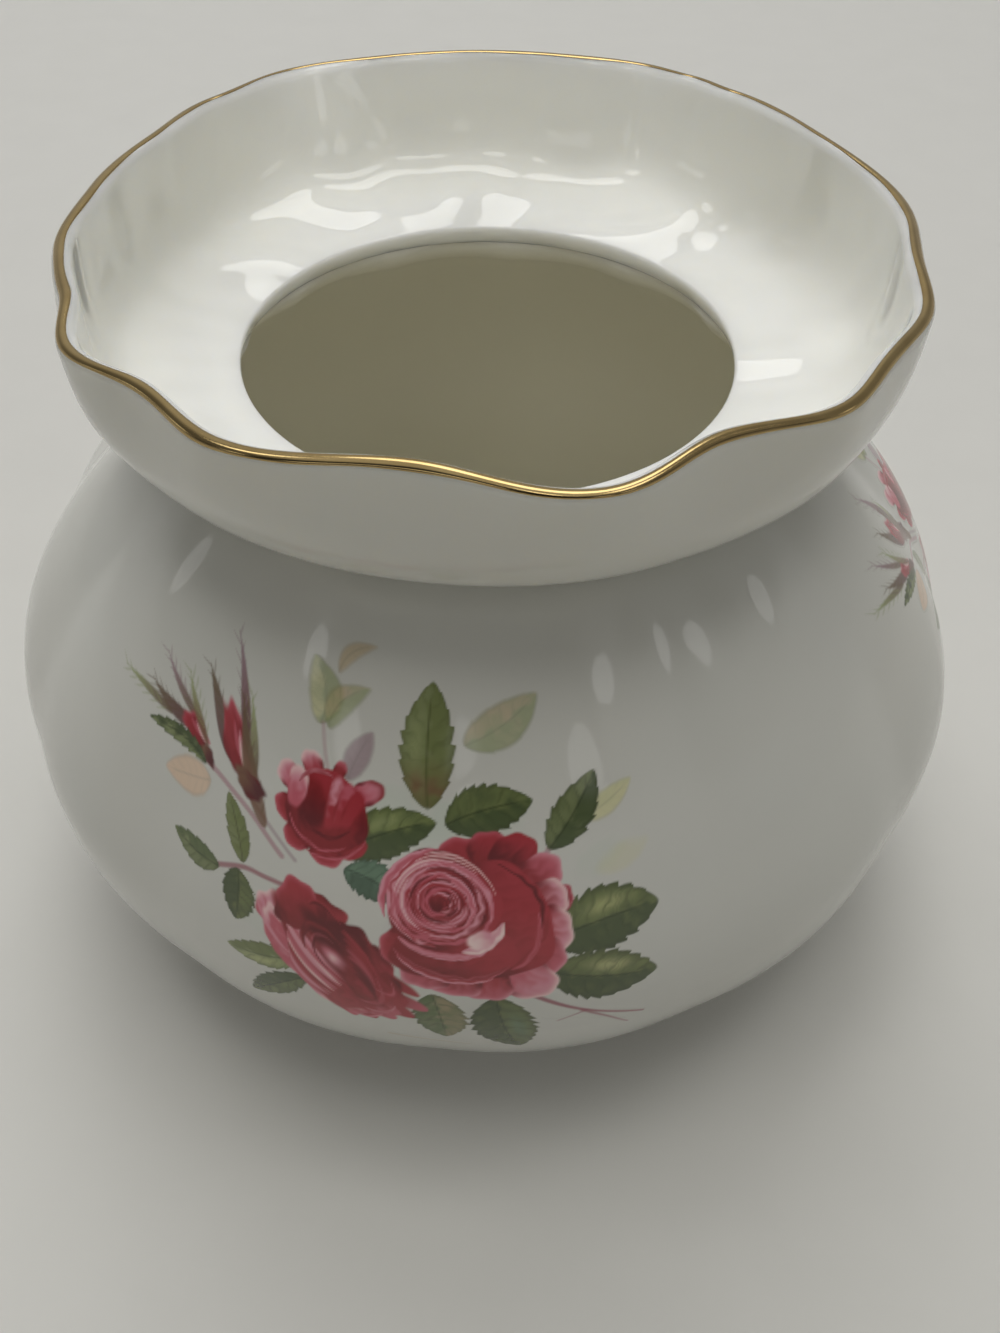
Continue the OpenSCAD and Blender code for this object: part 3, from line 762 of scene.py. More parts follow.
def smooth_line(places, steps=10):
    """Curve through a few places: each span is a Catmull-Rom cubic."""
    p = np.array(places, float)
    k = np.linspace(0, len(p) - 1, steps * (len(p) - 1) + 1)
    i = np.minimum(k.astype(int), len(p) - 2)
    f = (k - i)[:, None]
    ends = np.vstack([2 * p[0] - p[1], p, 2 * p[-1] - p[-2]])
    a, b, c, d = ends[i], ends[i + 1], ends[i + 2], ends[i + 3]
    return 0.5 * (2 * b + (c - a) * f + (2 * a - 5 * b + 4 * c - d) * f**2 + (3 * b - a - 3 * c + d) * f**3)


def paint_line(sheet, places, width, colour, soft=0.22, strength=1.0, taper=0.0):
    """Stalk along a smooth line; its width falls to (1 - taper) of itself at its end."""
    line = smooth_line(places)
    low, high = line.min(0) - width - 1, line.max(0) + width + 1
    near = (sheet.x > low[0]) & (sheet.x < high[0]) & (sheet.y > low[1]) & (sheet.y < high[1])
    points = np.flatnonzero(near)
    spot = np.stack([sheet.x[points], sheet.y[points]], 1)[:, None]
    start, span = line[:-1][None], np.diff(line, axis=0)[None]
    t = np.clip(((spot - start) * span).sum(2) / (span**2).sum(2), 0, 1)
    away = np.linalg.norm(spot - start - t[..., None] * span, axis=2)
    nearest = away.argmin(1)
    rows = np.arange(len(points))
    run = (nearest + t[rows, nearest]) / span.shape[1]
    half = width / 2 * (1 - taper * run)
    inside = smooth_step(half - away[rows, nearest], -soft, 0.6 * soft)
    sheet.lay(points, np.tile(colour, (len(points), 1)), inside * strength)


def oval(x, y, shape, power=2.0):
    """How far out points lie in a turned oval, 0 at its middle and 1 on its rim, and its own two axes.

    shape is its middle x and y, its half length and half width, and its turn in degrees.
    """
    cx, cy, a, b, turn = shape
    t = math.radians(turn)
    u = ((x - cx) * math.cos(t) + (y - cy) * math.sin(t)) / a
    v = ((y - cy) * math.cos(t) - (x - cx) * math.sin(t)) / b
    return (np.abs(u) ** power + np.abs(v) ** power) ** (1 / power), u, v


def paint_petal(sheet, shape, inner, outer, rim=None, shade=None, power=2.3, soft=0.28, strength=1.0,
                wave=0.04, streak=0.10, seed=0.0):
    """Petal: an oval that runs from its inner colour to its rim, with fine streaks and shaded sides."""
    points = sheet.near(shape[0], shape[1], 1.25 * max(shape[2:4]) + 0.5)
    x, y = sheet.x[points], sheet.y[points]
    e, u, v = oval(x, y, shape, power)
    a = np.arctan2(v, u)
    e = e * (1 + wave * np.sin(3 * a + 5 * seed) + 0.5 * wave * np.sin(7 * a + 9 * seed))
    size = min(shape[2:4])
    inside = smooth_step((1 - e) * size, -soft / 2, soft / 2)
    uneven = mottle(x, y, 2.4, seed)
    fine = np.sin(v * shape[3] / 0.20 + 2.2 * uneven + 1.5 * u)
    tone = smooth_step(u + 0.18 * uneven + streak * fine, -0.75, 0.95)
    colour = blend(np.tile(inner, (len(x), 1)), outer, tone)
    if shade is not None:
        dark = smooth_step(np.abs(v) + 0.1 * fine, 0.5, 1.0) * smooth_step(0.6 - u, 0, 0.9)
        colour = blend(colour, shade, 0.75 * dark)
    if rim is not None:
        colour = blend(colour, rim, 0.85 * np.exp(-((1 - e) * size / 0.42) ** 2) * smooth_step(u, 0, 0.6))
    sheet.lay(points, colour, inside * strength)


def paint_arc(sheet, shape, start, stop, width, inner, outer, soft=0.2, strength=1.0, seed=0.0, streak=0.3):
    """Curved brush mark along an oval's rim from one angle to another, thin at both ends and thick between.

    Its colour runs across it, from its inner to its outer side, in fine streaks that follow the rim.
    """
    points = sheet.near(shape[0], shape[1], max(shape[2:4]) + width)
    x, y = sheet.x[points], sheet.y[points]
    e, u, v = oval(x, y, shape)
    t = (np.degrees(np.arctan2(v, u)) - start) % 360 / (stop - start)
    half = width / 2 * np.sin(np.pi * np.clip(t, 0, 1)) ** 0.6
    uneven = mottle(x, y, 2.6, seed)
    across = (e - 1) * math.sqrt(shape[2] * shape[3]) + 0.10 * width * uneven
    inside = smooth_step(half - np.abs(across), -soft / 2, soft / 2) * (t < 1)
    fine = np.sin(across / 0.11 + 1.2 * uneven + 9 * seed)
    share = 0.5 + 0.5 * across / np.maximum(half, 0.1) + streak * fine
    sheet.lay(points, blend(np.tile(inner, (len(x), 1)), outer, share), inside * strength)


def paint_wash(sheet, shape, colour, strength):
    """Cloud of thin colour round the leaves, which fades out at its rim."""
    points = sheet.near(shape[0], shape[1], 1.4 * max(shape[2:4]))
    x, y = sheet.x[points], sheet.y[points]
    e = oval(x, y, shape)[0] + 0.12 * mottle(x, y, 3.0, shape[0])
    sheet.lay(points, np.tile(colour, (len(x), 1)), strength * smooth_step(1.15 - e, 0, 0.7))


def placed(cx, cy, r, dx, dy, a, b, turn=0):
    """Oval given in shares of a bloom's radius about its middle, as an oval on the sheet."""
    return cx + dx * r, cy + dy * r, a * r, b * r, turn


def paint_petals(sheet, place, rows, seed, **look):
    """Petals from rows: an oval's place in a bloom and turn, inner and outer colour, and perhaps a rim's."""
    for k, row in enumerate(rows):
        paint_petal(sheet, place(*row[:5]), *row[5:], seed=k + seed, **look)


def paint_arcs(sheet, place, rows, seed, scale=1.0, **look):
    """Arcs from rows: an oval's place in a bloom, start, stop, width over scale, inner and outer colour."""
    for k, (*oval_place, start, stop, width, inner, outer) in enumerate(rows):
        paint_arc(sheet, place(*oval_place), start, stop, width * scale, inner, outer, seed=k + seed, **look)


def fine_strokes(sheet, shape, count, first, last, tones, width=0.26):
    """Fine brushed arcs of under a third of a turn, scattered between two shares of an oval's size."""
    for k in range(count):
        share = first + (last - first) * (0.618 * k % 1)
        start = 360 * (0.383 * k % 1)
        part = (shape[0], shape[1], share * shape[2], share * shape[3], shape[4])
        stop = start + 55 + 50 * (0.711 * k % 1)
        tone = tones[k % len(tones)]
        paint_arc(sheet, part, start, stop, width, tone, tone, strength=0.8, seed=k)


def paint_cup(sheet, cx, cy, q, turn, rows, squash=0.92):
    """Heart of a rose: petal rims that wind inwards, each a lit arc with a shadow under its inner side."""
    tones = ((RED, PINK), (CRIMSON, ROSE), (ROSE, PINK), (RED, ROSE), (CRIMSON, PINK))
    for k in range(rows):
        share = 1 - k / rows
        reach = q * (0.08 + 0.88 * share**1.1)
        start = turn + 137 * k
        span = 190 - 45 * math.sin(2.3 * k)
        a = math.radians(start + span / 2)
        shift = 0.09 * q * share
        shape = (cx - shift * math.cos(a), cy - shift * math.sin(a), reach, squash * reach, 0)
        under = (shape[0], shape[1], 0.86 * reach, 0.86 * squash * reach, 0)
        width = q * (0.07 + 0.10 * share) * (1 + 0.3 * math.sin(3.1 * k))
        paint_arc(sheet, under, start - 10, start + span + 10, 1.3 * width, DEEP, CRIMSON, strength=0.8,
                  seed=k)
        inner, outer = tones[k % len(tones)]
        paint_arc(sheet, shape, start, start + span, width, inner, outer, seed=k + 0.4, streak=0.5)
    body = (cx, cy, q, squash * q, 0)
    fine_strokes(sheet, body, 22, 0.25, 0.98, (PINK, BLUSH, ROSE, CRIMSON, PINK))
    fine_strokes(sheet, body, 9, 0.15, 0.7, (DEEP, CRIMSON), 0.3)


def open_rose(sheet, cx, cy, r):
    """Open rose: loose petals to the right and below, a crimson body, and a wide cup to the left."""
    place = partial(placed, cx, cy, r)
    paint_petals(sheet, place, [
        (-0.10, 0.74, 0.26, 0.26, 95, CRIMSON, RED, ROSE), (0.16, 0.86, 0.24, 0.22, 80, CRIMSON, RED, ROSE),
        (0.42, 0.84, 0.26, 0.24, 62, DEEP, RED, RED), (0.66, 0.62, 0.28, 0.24, 40, CRIMSON, ROSE, PINK),
        (0.88, 0.36, 0.17, 0.16, 20, DEEP, CRIMSON, ROSE),
        (0.74, 0.36, 0.26, 0.22, 15, CRIMSON, PINK, BLUSH),
        (0.80, -0.02, 0.26, 0.30, -4, RED, PINK, BLUSH), (0.70, -0.32, 0.30, 0.28, -30, CRIMSON, ROSE, PINK),
        (0.58, -0.66, 0.34, 0.30, -40, ROSE, PINK, BLUSH), (0.14, -0.78, 0.24, 0.30, -84, RED, ROSE, PINK),
        (-0.20, -0.76, 0.24, 0.30, -96, CRIMSON, ROSE, PINK),
        (-0.52, -0.66, 0.26, 0.28, -120, CRIMSON, ROSE, PINK),
        (-0.78, -0.36, 0.22, 0.28, -160, CRIMSON, RED, ROSE)], 0.3, shade=DEEP, wave=0.06, streak=0.14)
    paint_petal(sheet, place(0.16, 0.04, 0.68, 0.70, 20), CRIMSON, RED, shade=DEEP, seed=4, wave=0.05,
                streak=0.16)
    paint_petal(sheet, place(-0.22, -0.34, 0.70, 0.36, 8), CRIMSON, RED, shade=DEEP, seed=5, streak=0.16)
    paint_arcs(sheet, place, [
        (-0.20, -0.06, 0.74, 0.66, 205, 322, 0.12, CRIMSON, ROSE),
        (-0.18, -0.02, 0.80, 0.74, 215, 300, 0.07, RED, PINK),
        (0.10, 0.10, 0.66, 0.66, -60, 40, 0.10, CRIMSON, RED),
        (0.04, 0.16, 0.70, 0.62, -20, 75, 0.07, DEEP, RED),
        (0.26, 0.02, 0.44, 0.58, -70, 20, 0.08, RED, ROSE)], 20, scale=r)
    cup = place(-0.34, 0.24, 0.62, 0.58)
    paint_petal(sheet, cup, CRIMSON, RED, shade=DEEP, seed=6, power=2.0, streak=0.16)
    paint_cup(sheet, cup[0], cup[1], cup[2], 70, 17)
    paint_petal(sheet, place(-0.40, 0.22, 0.10, 0.08, 90), DEEP, CRIMSON, seed=9, power=2, strength=0.9)
    paint_arcs(sheet, place, [
        (-0.32, 0.22, 0.66, 0.60, 95, 200, 0.09, ROSE, PINK),
        (-0.30, 0.20, 0.68, 0.62, 220, 318, 0.10, ROSE, PINK),
        (-0.28, 0.16, 0.60, 0.52, 285, 352, 0.14, PINK, BLUSH)], 30, scale=r)
    paint_petal(sheet, place(0.08, -0.16, 0.15, 0.11, 30), BLUSH, PINK, seed=3, soft=0.5)


def half_open_rose(sheet, base, tip, half_width):
    """Half-open rose on a leaning axis: streaked pale petals on its left, deep ragged ones on its right."""
    (x0, y0), (x1, y1) = base, tip
    length = math.hypot(x1 - x0, y1 - y0)
    along = np.array([(x1 - x0) / length, (y1 - y0) / length])
    right = np.array([-along[1], along[0]])
    turn = math.degrees(math.atan2(along[1], along[0]))

    def at(t, s):
        """Sheet place at a share t of the axis and a share s of the half width to its right."""
        return tuple(np.array(base) + t * length * along + s * half_width * right)

    def lean(t, s, a, b, more=0):
        """Oval at such a place, with its length along the axis."""
        return (*at(t, s), a * length, b * half_width, turn + more)

    for k, (t, s, t_end, s_end, width) in enumerate([
            (0.78, 0.55, 1.04, 1.05, 0.20), (0.80, 0.30, 1.08, 0.62, 0.22), (0.80, 0.02, 1.06, 0.22, 0.22),
            (0.76, -0.25, 1.02, -0.16, 0.22), (0.70, -0.45, 0.95, -0.50, 0.20),
            (0.62, 0.75, 0.90, 1.16, 0.16)]):
        paint_stroke(sheet, at(t, s), at(t_end, s_end), width * half_width, CRIMSON,
                     end=RED if k % 2 else ROSE, soft=0.5, full=0.4, sharp=0.55)
    paint_petals(sheet, lean, [
        (0.20, 0.42, 0.15, 0.40, 12, CRIMSON, RED), (0.40, 0.66, 0.15, 0.34, 16, DEEP, RED),
        (0.60, 0.78, 0.17, 0.34, 4, CRIMSON, RED), (0.80, 0.62, 0.15, 0.36, -8, CRIMSON, RED),
        (0.86, 0.10, 0.15, 0.42, 4, CRIMSON, ROSE), (0.80, -0.38, 0.16, 0.34, 10, RED, ROSE)],
        0.3, shade=DEEP, wave=0.14, streak=0.25)
    paint_petals(sheet, lean, [
        (0.12, -0.62, 0.13, 0.34, 150, ROSE, PINK, BLUSH), (0.26, -0.80, 0.17, 0.28, 170, ROSE, PINK, BLUSH),
        (0.44, -0.74, 0.30, 0.30, 4, ROSE, PINK, BLUSH), (0.60, -0.58, 0.30, 0.34, 6, ROSE, PINK, BLUSH)],
        2.6, shade=ROSE, wave=0.12, streak=0.35)
    paint_petal(sheet, lean(0.50, -0.05, 0.44, 0.74), CRIMSON, RED, shade=CRIMSON, seed=4, power=2.2,
                streak=0.3, wave=0.10, soft=0.6)
    for k in range(26):
        share = (0.618 * k) % 1
        start = 0.06 + 0.34 * (0.383 * k % 1)
        stop = at(start + 0.34 + 0.22 * share, -0.78 + 0.92 * share)
        width = (0.050 + 0.035 * (0.711 * k % 1)) * half_width
        tone = (PINK, ROSE, BLUSH, CRIMSON, PINK, RED)[k % 6]
        paint_stroke(sheet, at(start, -0.86 + 0.72 * share), stop, width, tone, bend=-0.5 + 0.2 * share,
                     soft=0.3, strength=0.85)
    paint_petal(sheet, lean(0.13, 0.05, 0.15, 0.52, 160), CRIMSON, RED, rim=ROSE, shade=DEEP, seed=6,
                wave=0.12)
    paint_petal(sheet, lean(0.52, 0.36, 0.33, 0.46, -4), DEEP, CRIMSON, shade=DEEP, seed=7.4, streak=0.2,
                soft=0.9, wave=0.16)
    paint_petal(sheet, lean(0.66, 0.46, 0.22, 0.34, -4), CRIMSON, RED, seed=8.2, streak=0.25, soft=1.2,
                wave=0.16)
    paint_arcs(sheet, lean, [
        (0.44, 0.02, 0.20, 0.40, 100, 250, 0.7, DEEP, CRIMSON),
        (0.46, 0.06, 0.15, 0.28, 120, 300, 0.4, DEEP, ROSE),
        (0.50, 0.12, 0.36, 0.62, 20, 120, 0.7, CRIMSON, RED),
        (0.56, 0.22, 0.30, 0.44, -40, 70, 0.5, RED, ROSE),
        (0.30, 0.34, 0.18, 0.34, 90, 190, 0.5, DEEP, RED),
        (0.80, 0.24, 0.16, 0.42, -60, 40, 0.45, RED, PINK),
        (0.86, -0.12, 0.13, 0.40, -70, 30, 0.45, ROSE, PINK),
        (0.62, 0.66, 0.20, 0.24, -60, 60, 0.4, RED, ROSE)], 40, soft=0.35)
    for k in range(8):
        share = (0.618 * k + 0.3) % 1
        start = at(0.32 + 0.3 * share, 0.62 - 0.34 * share)
        stop = at(0.62 + 0.26 * share, 0.70 - 0.5 * share)
        paint_stroke(sheet, start, stop, 0.045 * half_width, (RED, DEEP, ROSE)[k % 3], bend=0.4, soft=0.35,
                     strength=0.6)
    paint_petal(sheet, lean(0.46, 0.10, 0.085, 0.15, 8), ROSE, PINK, seed=9, power=2, soft=0.9, strength=0.9)
    paint_petal(sheet, lean(0.45, 0.08, 0.04, 0.08, 8), PINK, BLUSH, seed=9, power=2, soft=0.9)


def small_rose(sheet, cx, cy, r):
    """Small half-round rose: a crimson cup, with a pale petal to its left and streaked ones to its right."""
    place = partial(placed, cx, cy, r)
    paint_petals(sheet, place, [
        (0.88, 0.52, 0.34, 0.26, 25, ROSE, PINK, CRIMSON), (0.30, 0.92, 0.20, 0.14, 65, CRIMSON, RED, ROSE),
        (-0.28, 0.92, 0.30, 0.24, 110, RED, PINK, BLUSH), (-0.78, 0.56, 0.32, 0.28, 145, ROSE, PINK, BLUSH),
        (-0.84, -0.10, 0.30, 0.30, 190, CRIMSON, RED, ROSE),
        (-0.62, -0.62, 0.32, 0.32, 225, CRIMSON, RED, ROSE),
        (0.0, -0.86, 0.30, 0.36, -92, CRIMSON, RED, ROSE),
        (0.52, -0.62, 0.30, 0.32, -50, CRIMSON, RED, RED)], 50, shade=DEEP)
    paint_petal(sheet, place(0, 0, 0.86, 0.88, 90), CRIMSON, RED, shade=DEEP, seed=60, power=2.1)
    paint_petal(sheet, place(-0.30, 0.12, 0.52, 0.30, 84), DEEP, CRIMSON, seed=61, soft=0.7)
    paint_petal(sheet, place(-0.62, 0.40, 0.44, 0.22, 78), ROSE, PINK, rim=BLUSH, seed=62, streak=0.3)
    for dx, dy, a, turn, tone in [
            (0.18, 0.22, 0.56, 76, PINK), (0.38, 0.20, 0.50, 70, ROSE), (0.56, 0.14, 0.42, 64, RED)]:
        paint_petal(sheet, place(dx, dy, a, 0.16, turn), RED, tone, shade=CRIMSON, seed=a, streak=0.35)
    paint_arcs(sheet, place, [
        (0, 0.05, 0.84, 0.84, 195, 300, 0.45, CRIMSON, ROSE),
        (0.05, 0.1, 0.60, 0.62, 200, 320, 0.45, DEEP, CRIMSON),
        (0, -0.1, 0.92, 0.86, 235, 335, 0.45, CRIMSON, ROSE),
        (-0.1, 0.2, 0.55, 0.62, 60, 150, 0.45, CRIMSON, PINK)], 63)


def paint_bud(sheet, base, tip, half_width, sepals, knob):
    """Rose bud: a crimson drop with a pale stripe in a maroon calyx, between long feathered sepals."""
    (x0, y0), (x1, y1) = base, tip
    along = np.array([x1 - x0, y1 - y0])
    across = np.array([along[1], -along[0]]) / np.hypot(*along) * half_width
    turn = math.degrees(math.atan2(along[1], along[0]))

    def sepal(k, start, end, width, colour, last, bend):
        """One sepal: a tapered stroke with short hairs on both sides."""
        paint_stroke(sheet, start, end, width, colour, end=last, bend=bend, soft=0.35, full=0.6, sharp=1.3,
                     strength=0.9)
        run = np.array(end) - start
        for i in range(12):
            root = np.array(start) + (0.12 + 0.075 * i) * run
            slant = math.atan2(run[1], run[0]) + (0.55 if (i + k) % 2 else -0.55)
            hair = root + 1.6 * np.array([math.cos(slant), math.sin(slant)])
            paint_stroke(sheet, tuple(root), tuple(hair), 0.12, last, soft=0.2, strength=0.5)

    for k, one in enumerate(sepals[:-1]):
        sepal(k, *one)
    middle = np.array(base) + 0.52 * along
    size = 0.5 * np.hypot(*along)
    paint_petal(sheet, (*middle, size, half_width, turn), DEEP, RED, rim=ROSE, shade=CRIMSON, seed=x0,
                wave=0.10, power=1.9, streak=0.25, soft=0.45)
    paint_petal(sheet, (*(middle - 0.3 * across), 0.86 * size, 0.5 * half_width, turn + 4), CRIMSON, RED,
                seed=x0 + 1, wave=0.12, power=1.9, soft=0.5)
    for share, shift, width, tone in [
            (0.0, 0.52, 0.17, PINK), (0.12, 0.22, 0.12, ROSE), (-0.2, 0.78, 0.12, ROSE),
            (-0.1, 0.40, 0.08, BLUSH)]:
        low, high = (middle + shift * across + t * along for t in (-0.34 + share, 0.16 + share))
        paint_stroke(sheet, tuple(low), tuple(high), width * half_width + 0.12, tone, bend=0.15, soft=0.3,
                     strength=0.8)
    sepal(len(sepals), *sepals[-1])
    paint_petal(sheet, knob, MAROON, BARK, shade=DEEP, seed=x0, soft=0.4, wave=0.12)


def paint_spray():
    """Lays the whole spray on its sheet, far things first: washes, faint leaves, stalks, leaves, blooms."""
    across = np.arange(SHEET_LEFT, SHEET_RIGHT + SHEET_CELL, SHEET_CELL)
    upward = np.arange(SHEET_LOW, SHEET_HIGH + SHEET_CELL, SHEET_CELL)
    x, y = np.meshgrid(across, upward)
    sheet = Sheet(x.ravel(), y.ravel())
    for shape, colour, strength in [
            ((-1.5, 22.5, 7, 3.2, 15), WASH, 0.55), ((-9.5, 23.5, 4, 3, 0), WASH, 0.45),
            ((12, 19, 3.2, 2.2, 30), WASH, 0.3), ((-8.6, 9.5, 1.8, 4.5, -8), HAZE, 0.35),
            ((-23.8, 8.5, 3, 2.4, 0), WASH, 0.25), ((14.5, 18.5, 3, 1.8, 20), STRAW, 0.35),
            ((7, -3.5, 8, 1.8, -8), HAZE, 0.2)]:
        paint_wash(sheet, shape, colour, strength)
    for base, tip, width, light, dark, bend in [
            ((-16.2, 31), (-17, 37.6), 1.9, STRAW, SAGE, -0.9),
            ((-15.4, 30.8), (-11, 35.4), 1.4, TAN, SAGE, 1.0),
            ((-14.4, 36.4), (-10.4, 39.6), 0.8, TAN, TAN, 0.9),
            ((-1.8, 30.2), (5.4, 36.2), 2.1, TAN, SAGE, -0.5),
            ((10, 23.2), (15.2, 26.2), 1.35, LIME, STRAW, -0.2),
            ((-29.8, 20.4), (-36.5, 19), 1.9, PEACH, PEACH, 0.3),
            ((-13.4, 26), (-10.8, 31.2), 1.3, DUSK, DUSK, 0.2)]:
        paint_leaf(sheet, base, tip, width, light, dark, bend=bend, teeth=4, tooth=0.05, soft=0.7,
                   strength=0.75, veins=0.2, seed=width)
    for places, width, colour, strength, taper in [
            ([(-15.9, 31.2), (-15.7, 28.8), (-15.3, 26.5)], 0.35, MAUVE, 0.5, 0),
            ([(-30.5, 22), (-27.5, 21.2), (-24, 19.6), (-20.5, 16.6)], 0.55, MAUVE, 0.8, 0),
            ([(-24.5, 21.4), (-22, 19.4), (-19, 16.6)], 0.4, DUSK, 0.6, 0),
            ([(-29, 12.2), (-25.2, 13.6), (-22.5, 13.6), (-19.4, 13.4)], 0.5, STEM, 0.8, 0),
            ([(7, 21), (6, 18.5), (5, 16)], 0.5, MAUVE, 0.8, 0),
            ([(6, 2.6), (9, 0.6), (12, -1.2), (18.2, -4.4)], 0.6, STEM, 0.9, 0.5),
            ([(11, -0.8), (14, -3.4), (16.6, -6.4)], 0.4, STEM, 0.8, 0.6),
            ([(11.5, -1), (8.5, -2.6)], 0.3, STEM, 0.6, 0.6),
            ([(-10, -8.2), (-6, -9.2), (-1, -9.6)], 0.3, TAN, 0.5, 0.6)]:
        paint_line(sheet, places, width, colour, strength=strength, taper=taper)
    for k, (base, tip, width, light, dark, bend, teeth, glow) in enumerate([
            ((-5.4, 23.4), (-4.9, 36.4), 2.8, 0.88 * SAGE, MOSS, 0.3, 8, SAGE),
            ((-3.6, 22), (5.2, 25.6), 2.6, MOSS, FOREST, 0.5, 8, None),
            ((6.8, 20.4), (11.2, 28), 2.2, 0.85 * SAGE, FOREST, -0.3, 6, None),
            ((-14.4, 18.6), (-4.4, 22.2), 2.7, 1.1 * MOSS, FOREST, 0.6, 9, SAGE),
            ((-13.8, 16.9), (-8.2, 13.8), 2.2, 1.35 * BLUE, BLUE, 0.5, 7, None),
            ((-25.2, 14), (-27.2, 20.6), 1.5, 0.85 * SAGE, MOSS, -0.3, 6, None),
            ((-28.4, 12.2), (-35.2, 13.2), 1.6, 0.85 * SAGE, 1.2 * FOREST, 0.5, 6, None),
            ((-25.8, 13.2), (-26.6, 6.8), 2.1, MOSS, FOREST, 0.2, 7, None),
            ((-19, 4.8), (-28.2, 2.6), 1.9, SAGE, MOSS, 0.5, 7, LIME),
            ((-18.6, 2), (-26, -5.4), 1.9, MOSS, FOREST, -0.3, 7, None),
            ((7.2, 10.4), (18.8, 12.4), 4.0, MOSS, FOREST, 0.7, 9, LIME),
            ((7.2, 6.2), (19.2, 3.6), 3.6, MOSS, FOREST, -0.3, 9, STRAW),
            ((-5, 2), (-3.6, -7.6), 3.0, 0.85 * TAN, 1.25 * FOREST, 0.2, 8, None),
            ((1.8, 2.4), (4.6, -9.8), 3.6, MOSS, FOREST, -0.4, 10, 1.3 * BLUE)]):
        paint_leaf(sheet, base, tip, width, light, dark, glow=glow, bend=bend, teeth=teeth,
                   warm=BARK if k == 0 else None, seed=k + 8)
    paint_bud(sheet, (-25.2, 22.4), (-27.8, 28.6), 1.75, [
        ((-26.6, 23.4), (-30.9, 31.4), 1.0, MAROON, UMBER, 0.4),
        ((-25, 25), (-27.4, 35.8), 0.75, MAROON, DUSK, -0.5),
        ((-24.2, 22.2), (-24.8, 31.2), 0.65, UMBER, SAGE, -0.5),
        ((-22.4, 18.8), (-25.8, 30.4), 1.0, BARK, UMBER, 0.5)],
        (-24.4, 22.4, 1.9, 1.2, 160))
    paint_bud(sheet, (-30.9, 22.9), (-33.9, 25.5), 1.2, [
        ((-32.6, 24.2), (-38.6, 27.2), 0.8, MAROON, UMBER, 0.3),
        ((-35.6, 24.6), (-43.2, 26.4), 0.5, UMBER, SAGE, -0.4),
        ((-32.0, 25.0), (-36.6, 30.6), 0.5, UMBER, DUSK, 0.3),
        ((-30.6, 23.4), (-33.4, 29.8), 0.5, BARK, SAGE, 0.5)],
        (-30.5, 22.5, 1.1, 0.75, 150))
    paint_leaf(sheet, (-30.6, 21.6), (-38.9, 23.2), 1.0, SAGE, FOREST, bend=-0.6, teeth=8, tooth=0.3,
               seed=30)
    small_rose(sheet, -15.6, 22.4, 4.9)
    half_open_rose(sheet, (-20.2, 13.6), (-10.6, -3.4), 5.2)
    open_rose(sheet, -0.6, 11.6, 9.6)
    return across, upward, sheet


def wall_run():
    """Outside of the bowl as [millimetres up the wall from the widest place, radius, height]."""
    line = np.vstack([cubic(SHOULDER, 400), cubic(UNDER, 400)[1:]])
    run = np.concatenate([[0], np.cumsum(np.linalg.norm(np.diff(line, axis=0), axis=1))])
    return np.column_stack([run[400] - run, line])[::-1]


def lifted(azimuth, up, lift):
    """Points off the outside of the bowl: its lobed surface plus a lift along the wall's normal."""
    wall = wall_run()
    r, z = (np.interp(up, wall[:, 0], wall[:, k]) for k in (1, 2))
    ahead, behind = ([np.interp(up + d, wall[:, 0], wall[:, k]) for k in (1, 2)] for d in (WALL, -WALL))
    rise, run = ahead[1] - behind[1], ahead[0] - behind[0]
    size = np.hypot(rise, run)
    out_r, out_z = rise / size, -run / size
    return on_azimuth(r + lobe_amount(z) * lobe(azimuth) + lift * out_r, z + lift * out_z, azimuth)


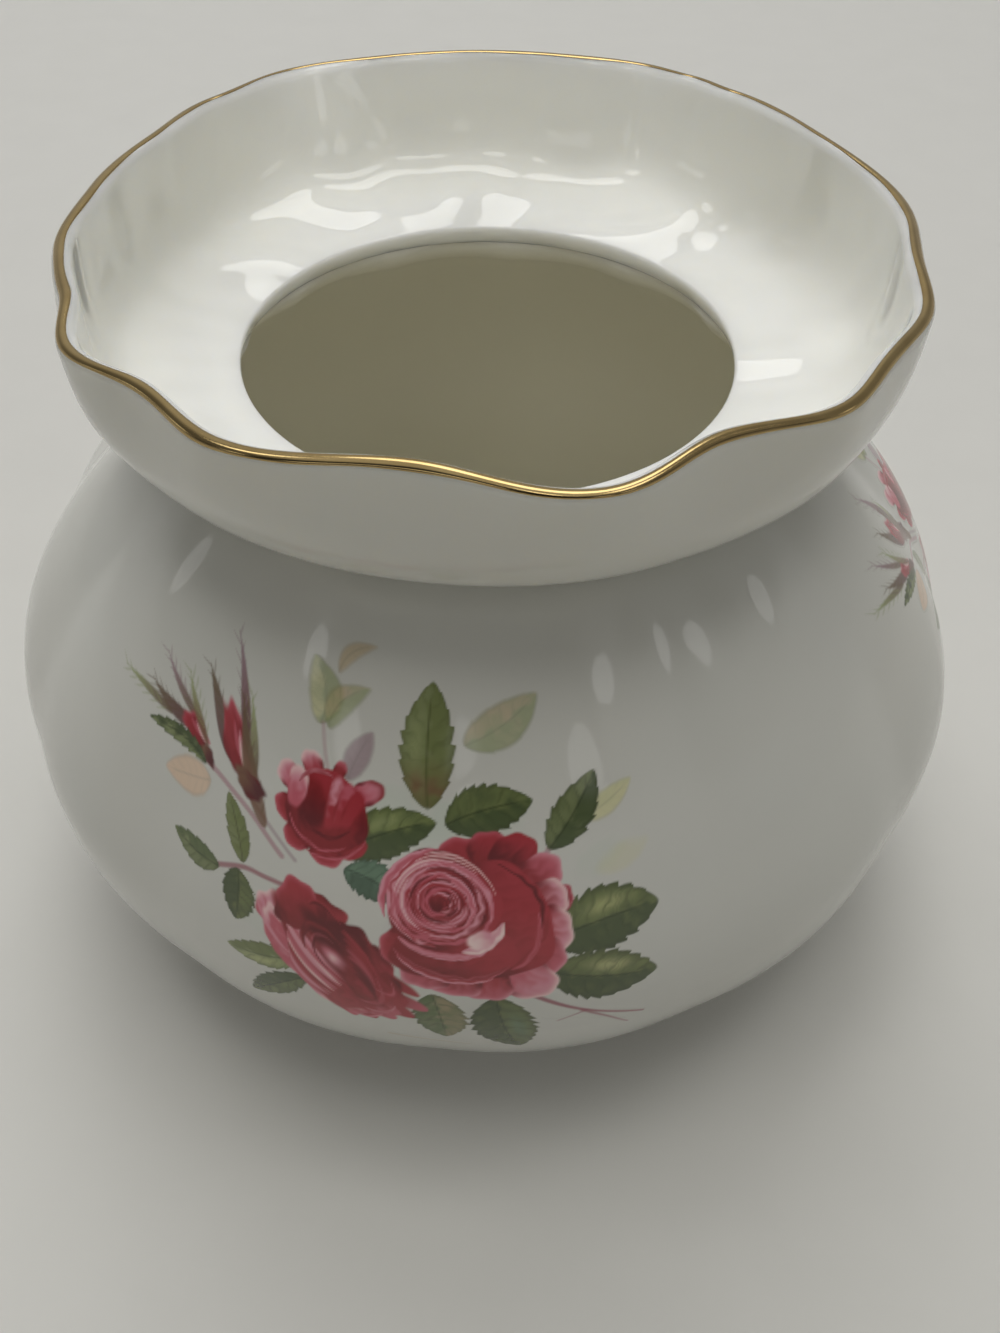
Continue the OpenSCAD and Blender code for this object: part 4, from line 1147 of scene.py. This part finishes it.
def make_spray(side, turn, painting):
    """Fired transfer: a closed film on the bowl, cut to the painted cells, thicker where the enamel is."""
    across, upward, sheet = painting
    rows, columns = len(upward), len(across)
    cover = sheet.cover.reshape(rows, columns)
    cell = np.maximum(np.maximum(cover[:-1, :-1], cover[1:, :-1]), np.maximum(cover[:-1, 1:], cover[1:, 1:]))
    kept = np.pad(cell > LEAST_COVER, 1)
    # Cells that meet only at a corner are joined by a third, so that no rim pinches to a point
    for _ in range(4):
        pinch = kept[:-1, :-1] & kept[1:, 1:] & ~kept[1:, :-1] & ~kept[:-1, 1:]
        kept[1:, :-1] |= pinch
        pinch = ~kept[:-1, :-1] & ~kept[1:, 1:] & kept[1:, :-1] & kept[:-1, 1:]
        kept[:-1, :-1] |= pinch
    i, j = np.nonzero(kept[1:-1, 1:-1])
    low = i * columns + j
    top = np.stack([low, low + 1, low + columns + 1, low + columns], 1)
    rims = []
    for (di, dj), (a, b) in {(-1, 0): (0, 1), (0, 1): (1, 2), (1, 0): (2, 3), (0, -1): (3, 0)}.items():
        open_side = ~kept[i + 1 + di, j + 1 + dj]
        rims.append(top[open_side][:, [b, a]])
    rim = np.vstack(rims)
    used, place = np.unique(top, return_inverse=True)
    renumber = np.zeros(rows * columns, int)
    renumber[used] = np.arange(len(used))
    top, rim = renumber[top], renumber[rim]
    count = len(used)
    x, y = sheet.x[used], sheet.y[used]
    wall = wall_run()
    azimuth = turn + np.degrees(x / np.interp(y, wall[:, 0], wall[:, 1]))
    cover = np.clip((sheet.cover[used] - LEAST_COVER) / (1 - LEAST_COVER), 0, 1)
    points = np.vstack([lifted(azimuth, y, FILM_EDGE + FILM_LIFT * cover), lifted(azimuth, y, -FILM_EDGE)])
    skirt = np.column_stack([rim, rim[:, ::-1] + count])
    obj = new_piece("rose_enamel_film_" + side, points, [top, top[:, ::-1] + count, skirt], flat=(1, 2))
    paint = obj.data.color_attributes.new("paint", "FLOAT_COLOR", "POINT")
    rgba = np.column_stack([unbend(np.clip(sheet.colour[used], 0, 1)), cover])
    paint.data.foreach_set("color", np.vstack([rgba, rgba]).astype(np.float32).ravel())
    return obj


def finish_piece(obj, material, slot, *nodes):
    """Gives a piece its material, lets it stand for its CAD nodes and rides it on the body; the slot is not
    used.
    """
    obj.data.materials.append(material)
    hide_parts(*nodes)
    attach(obj, "root")


bpy.context.scene.view_settings.view_transform = "Standard"
make_room()
make_camera()
# The inside of the bowl is painted creamier as warm light, and the dish whiter as light
bowl_china = glazed_china("glazed_bone_china_bowl", WELL_LIT_CREAM, WELL_ROUGHNESS)
mouth_china = glazed_china("glazed_bone_china_mouth", DISH_LIT_WHITE, DISH_ROUGHNESS, 1.0,
                           DISH_WAVE, DISH_WAVE_DEPTH, DISH_WAVE_OUTSIDE)
finish_piece(make_bowl(), bowl_china, "glazed_bone_china", "bowl")
finish_piece(make_mouth(), mouth_china, "glazed_bone_china", "mouth_collar")
finish_piece(make_foot(), wiped_foot_china(), "foot_bone_china", "foot_ring")
finish_piece(make_gold(), fired_gold(), "fired_gold", "gilt_edge")
enamels = rose_enamels()
painting = paint_spray()
for side, turn in SPRAY_TURNS.items():
    spray = make_spray(side, turn, painting)
    finish_piece(spray, enamels, "rose_enamels", "rose_transfer_" + side)
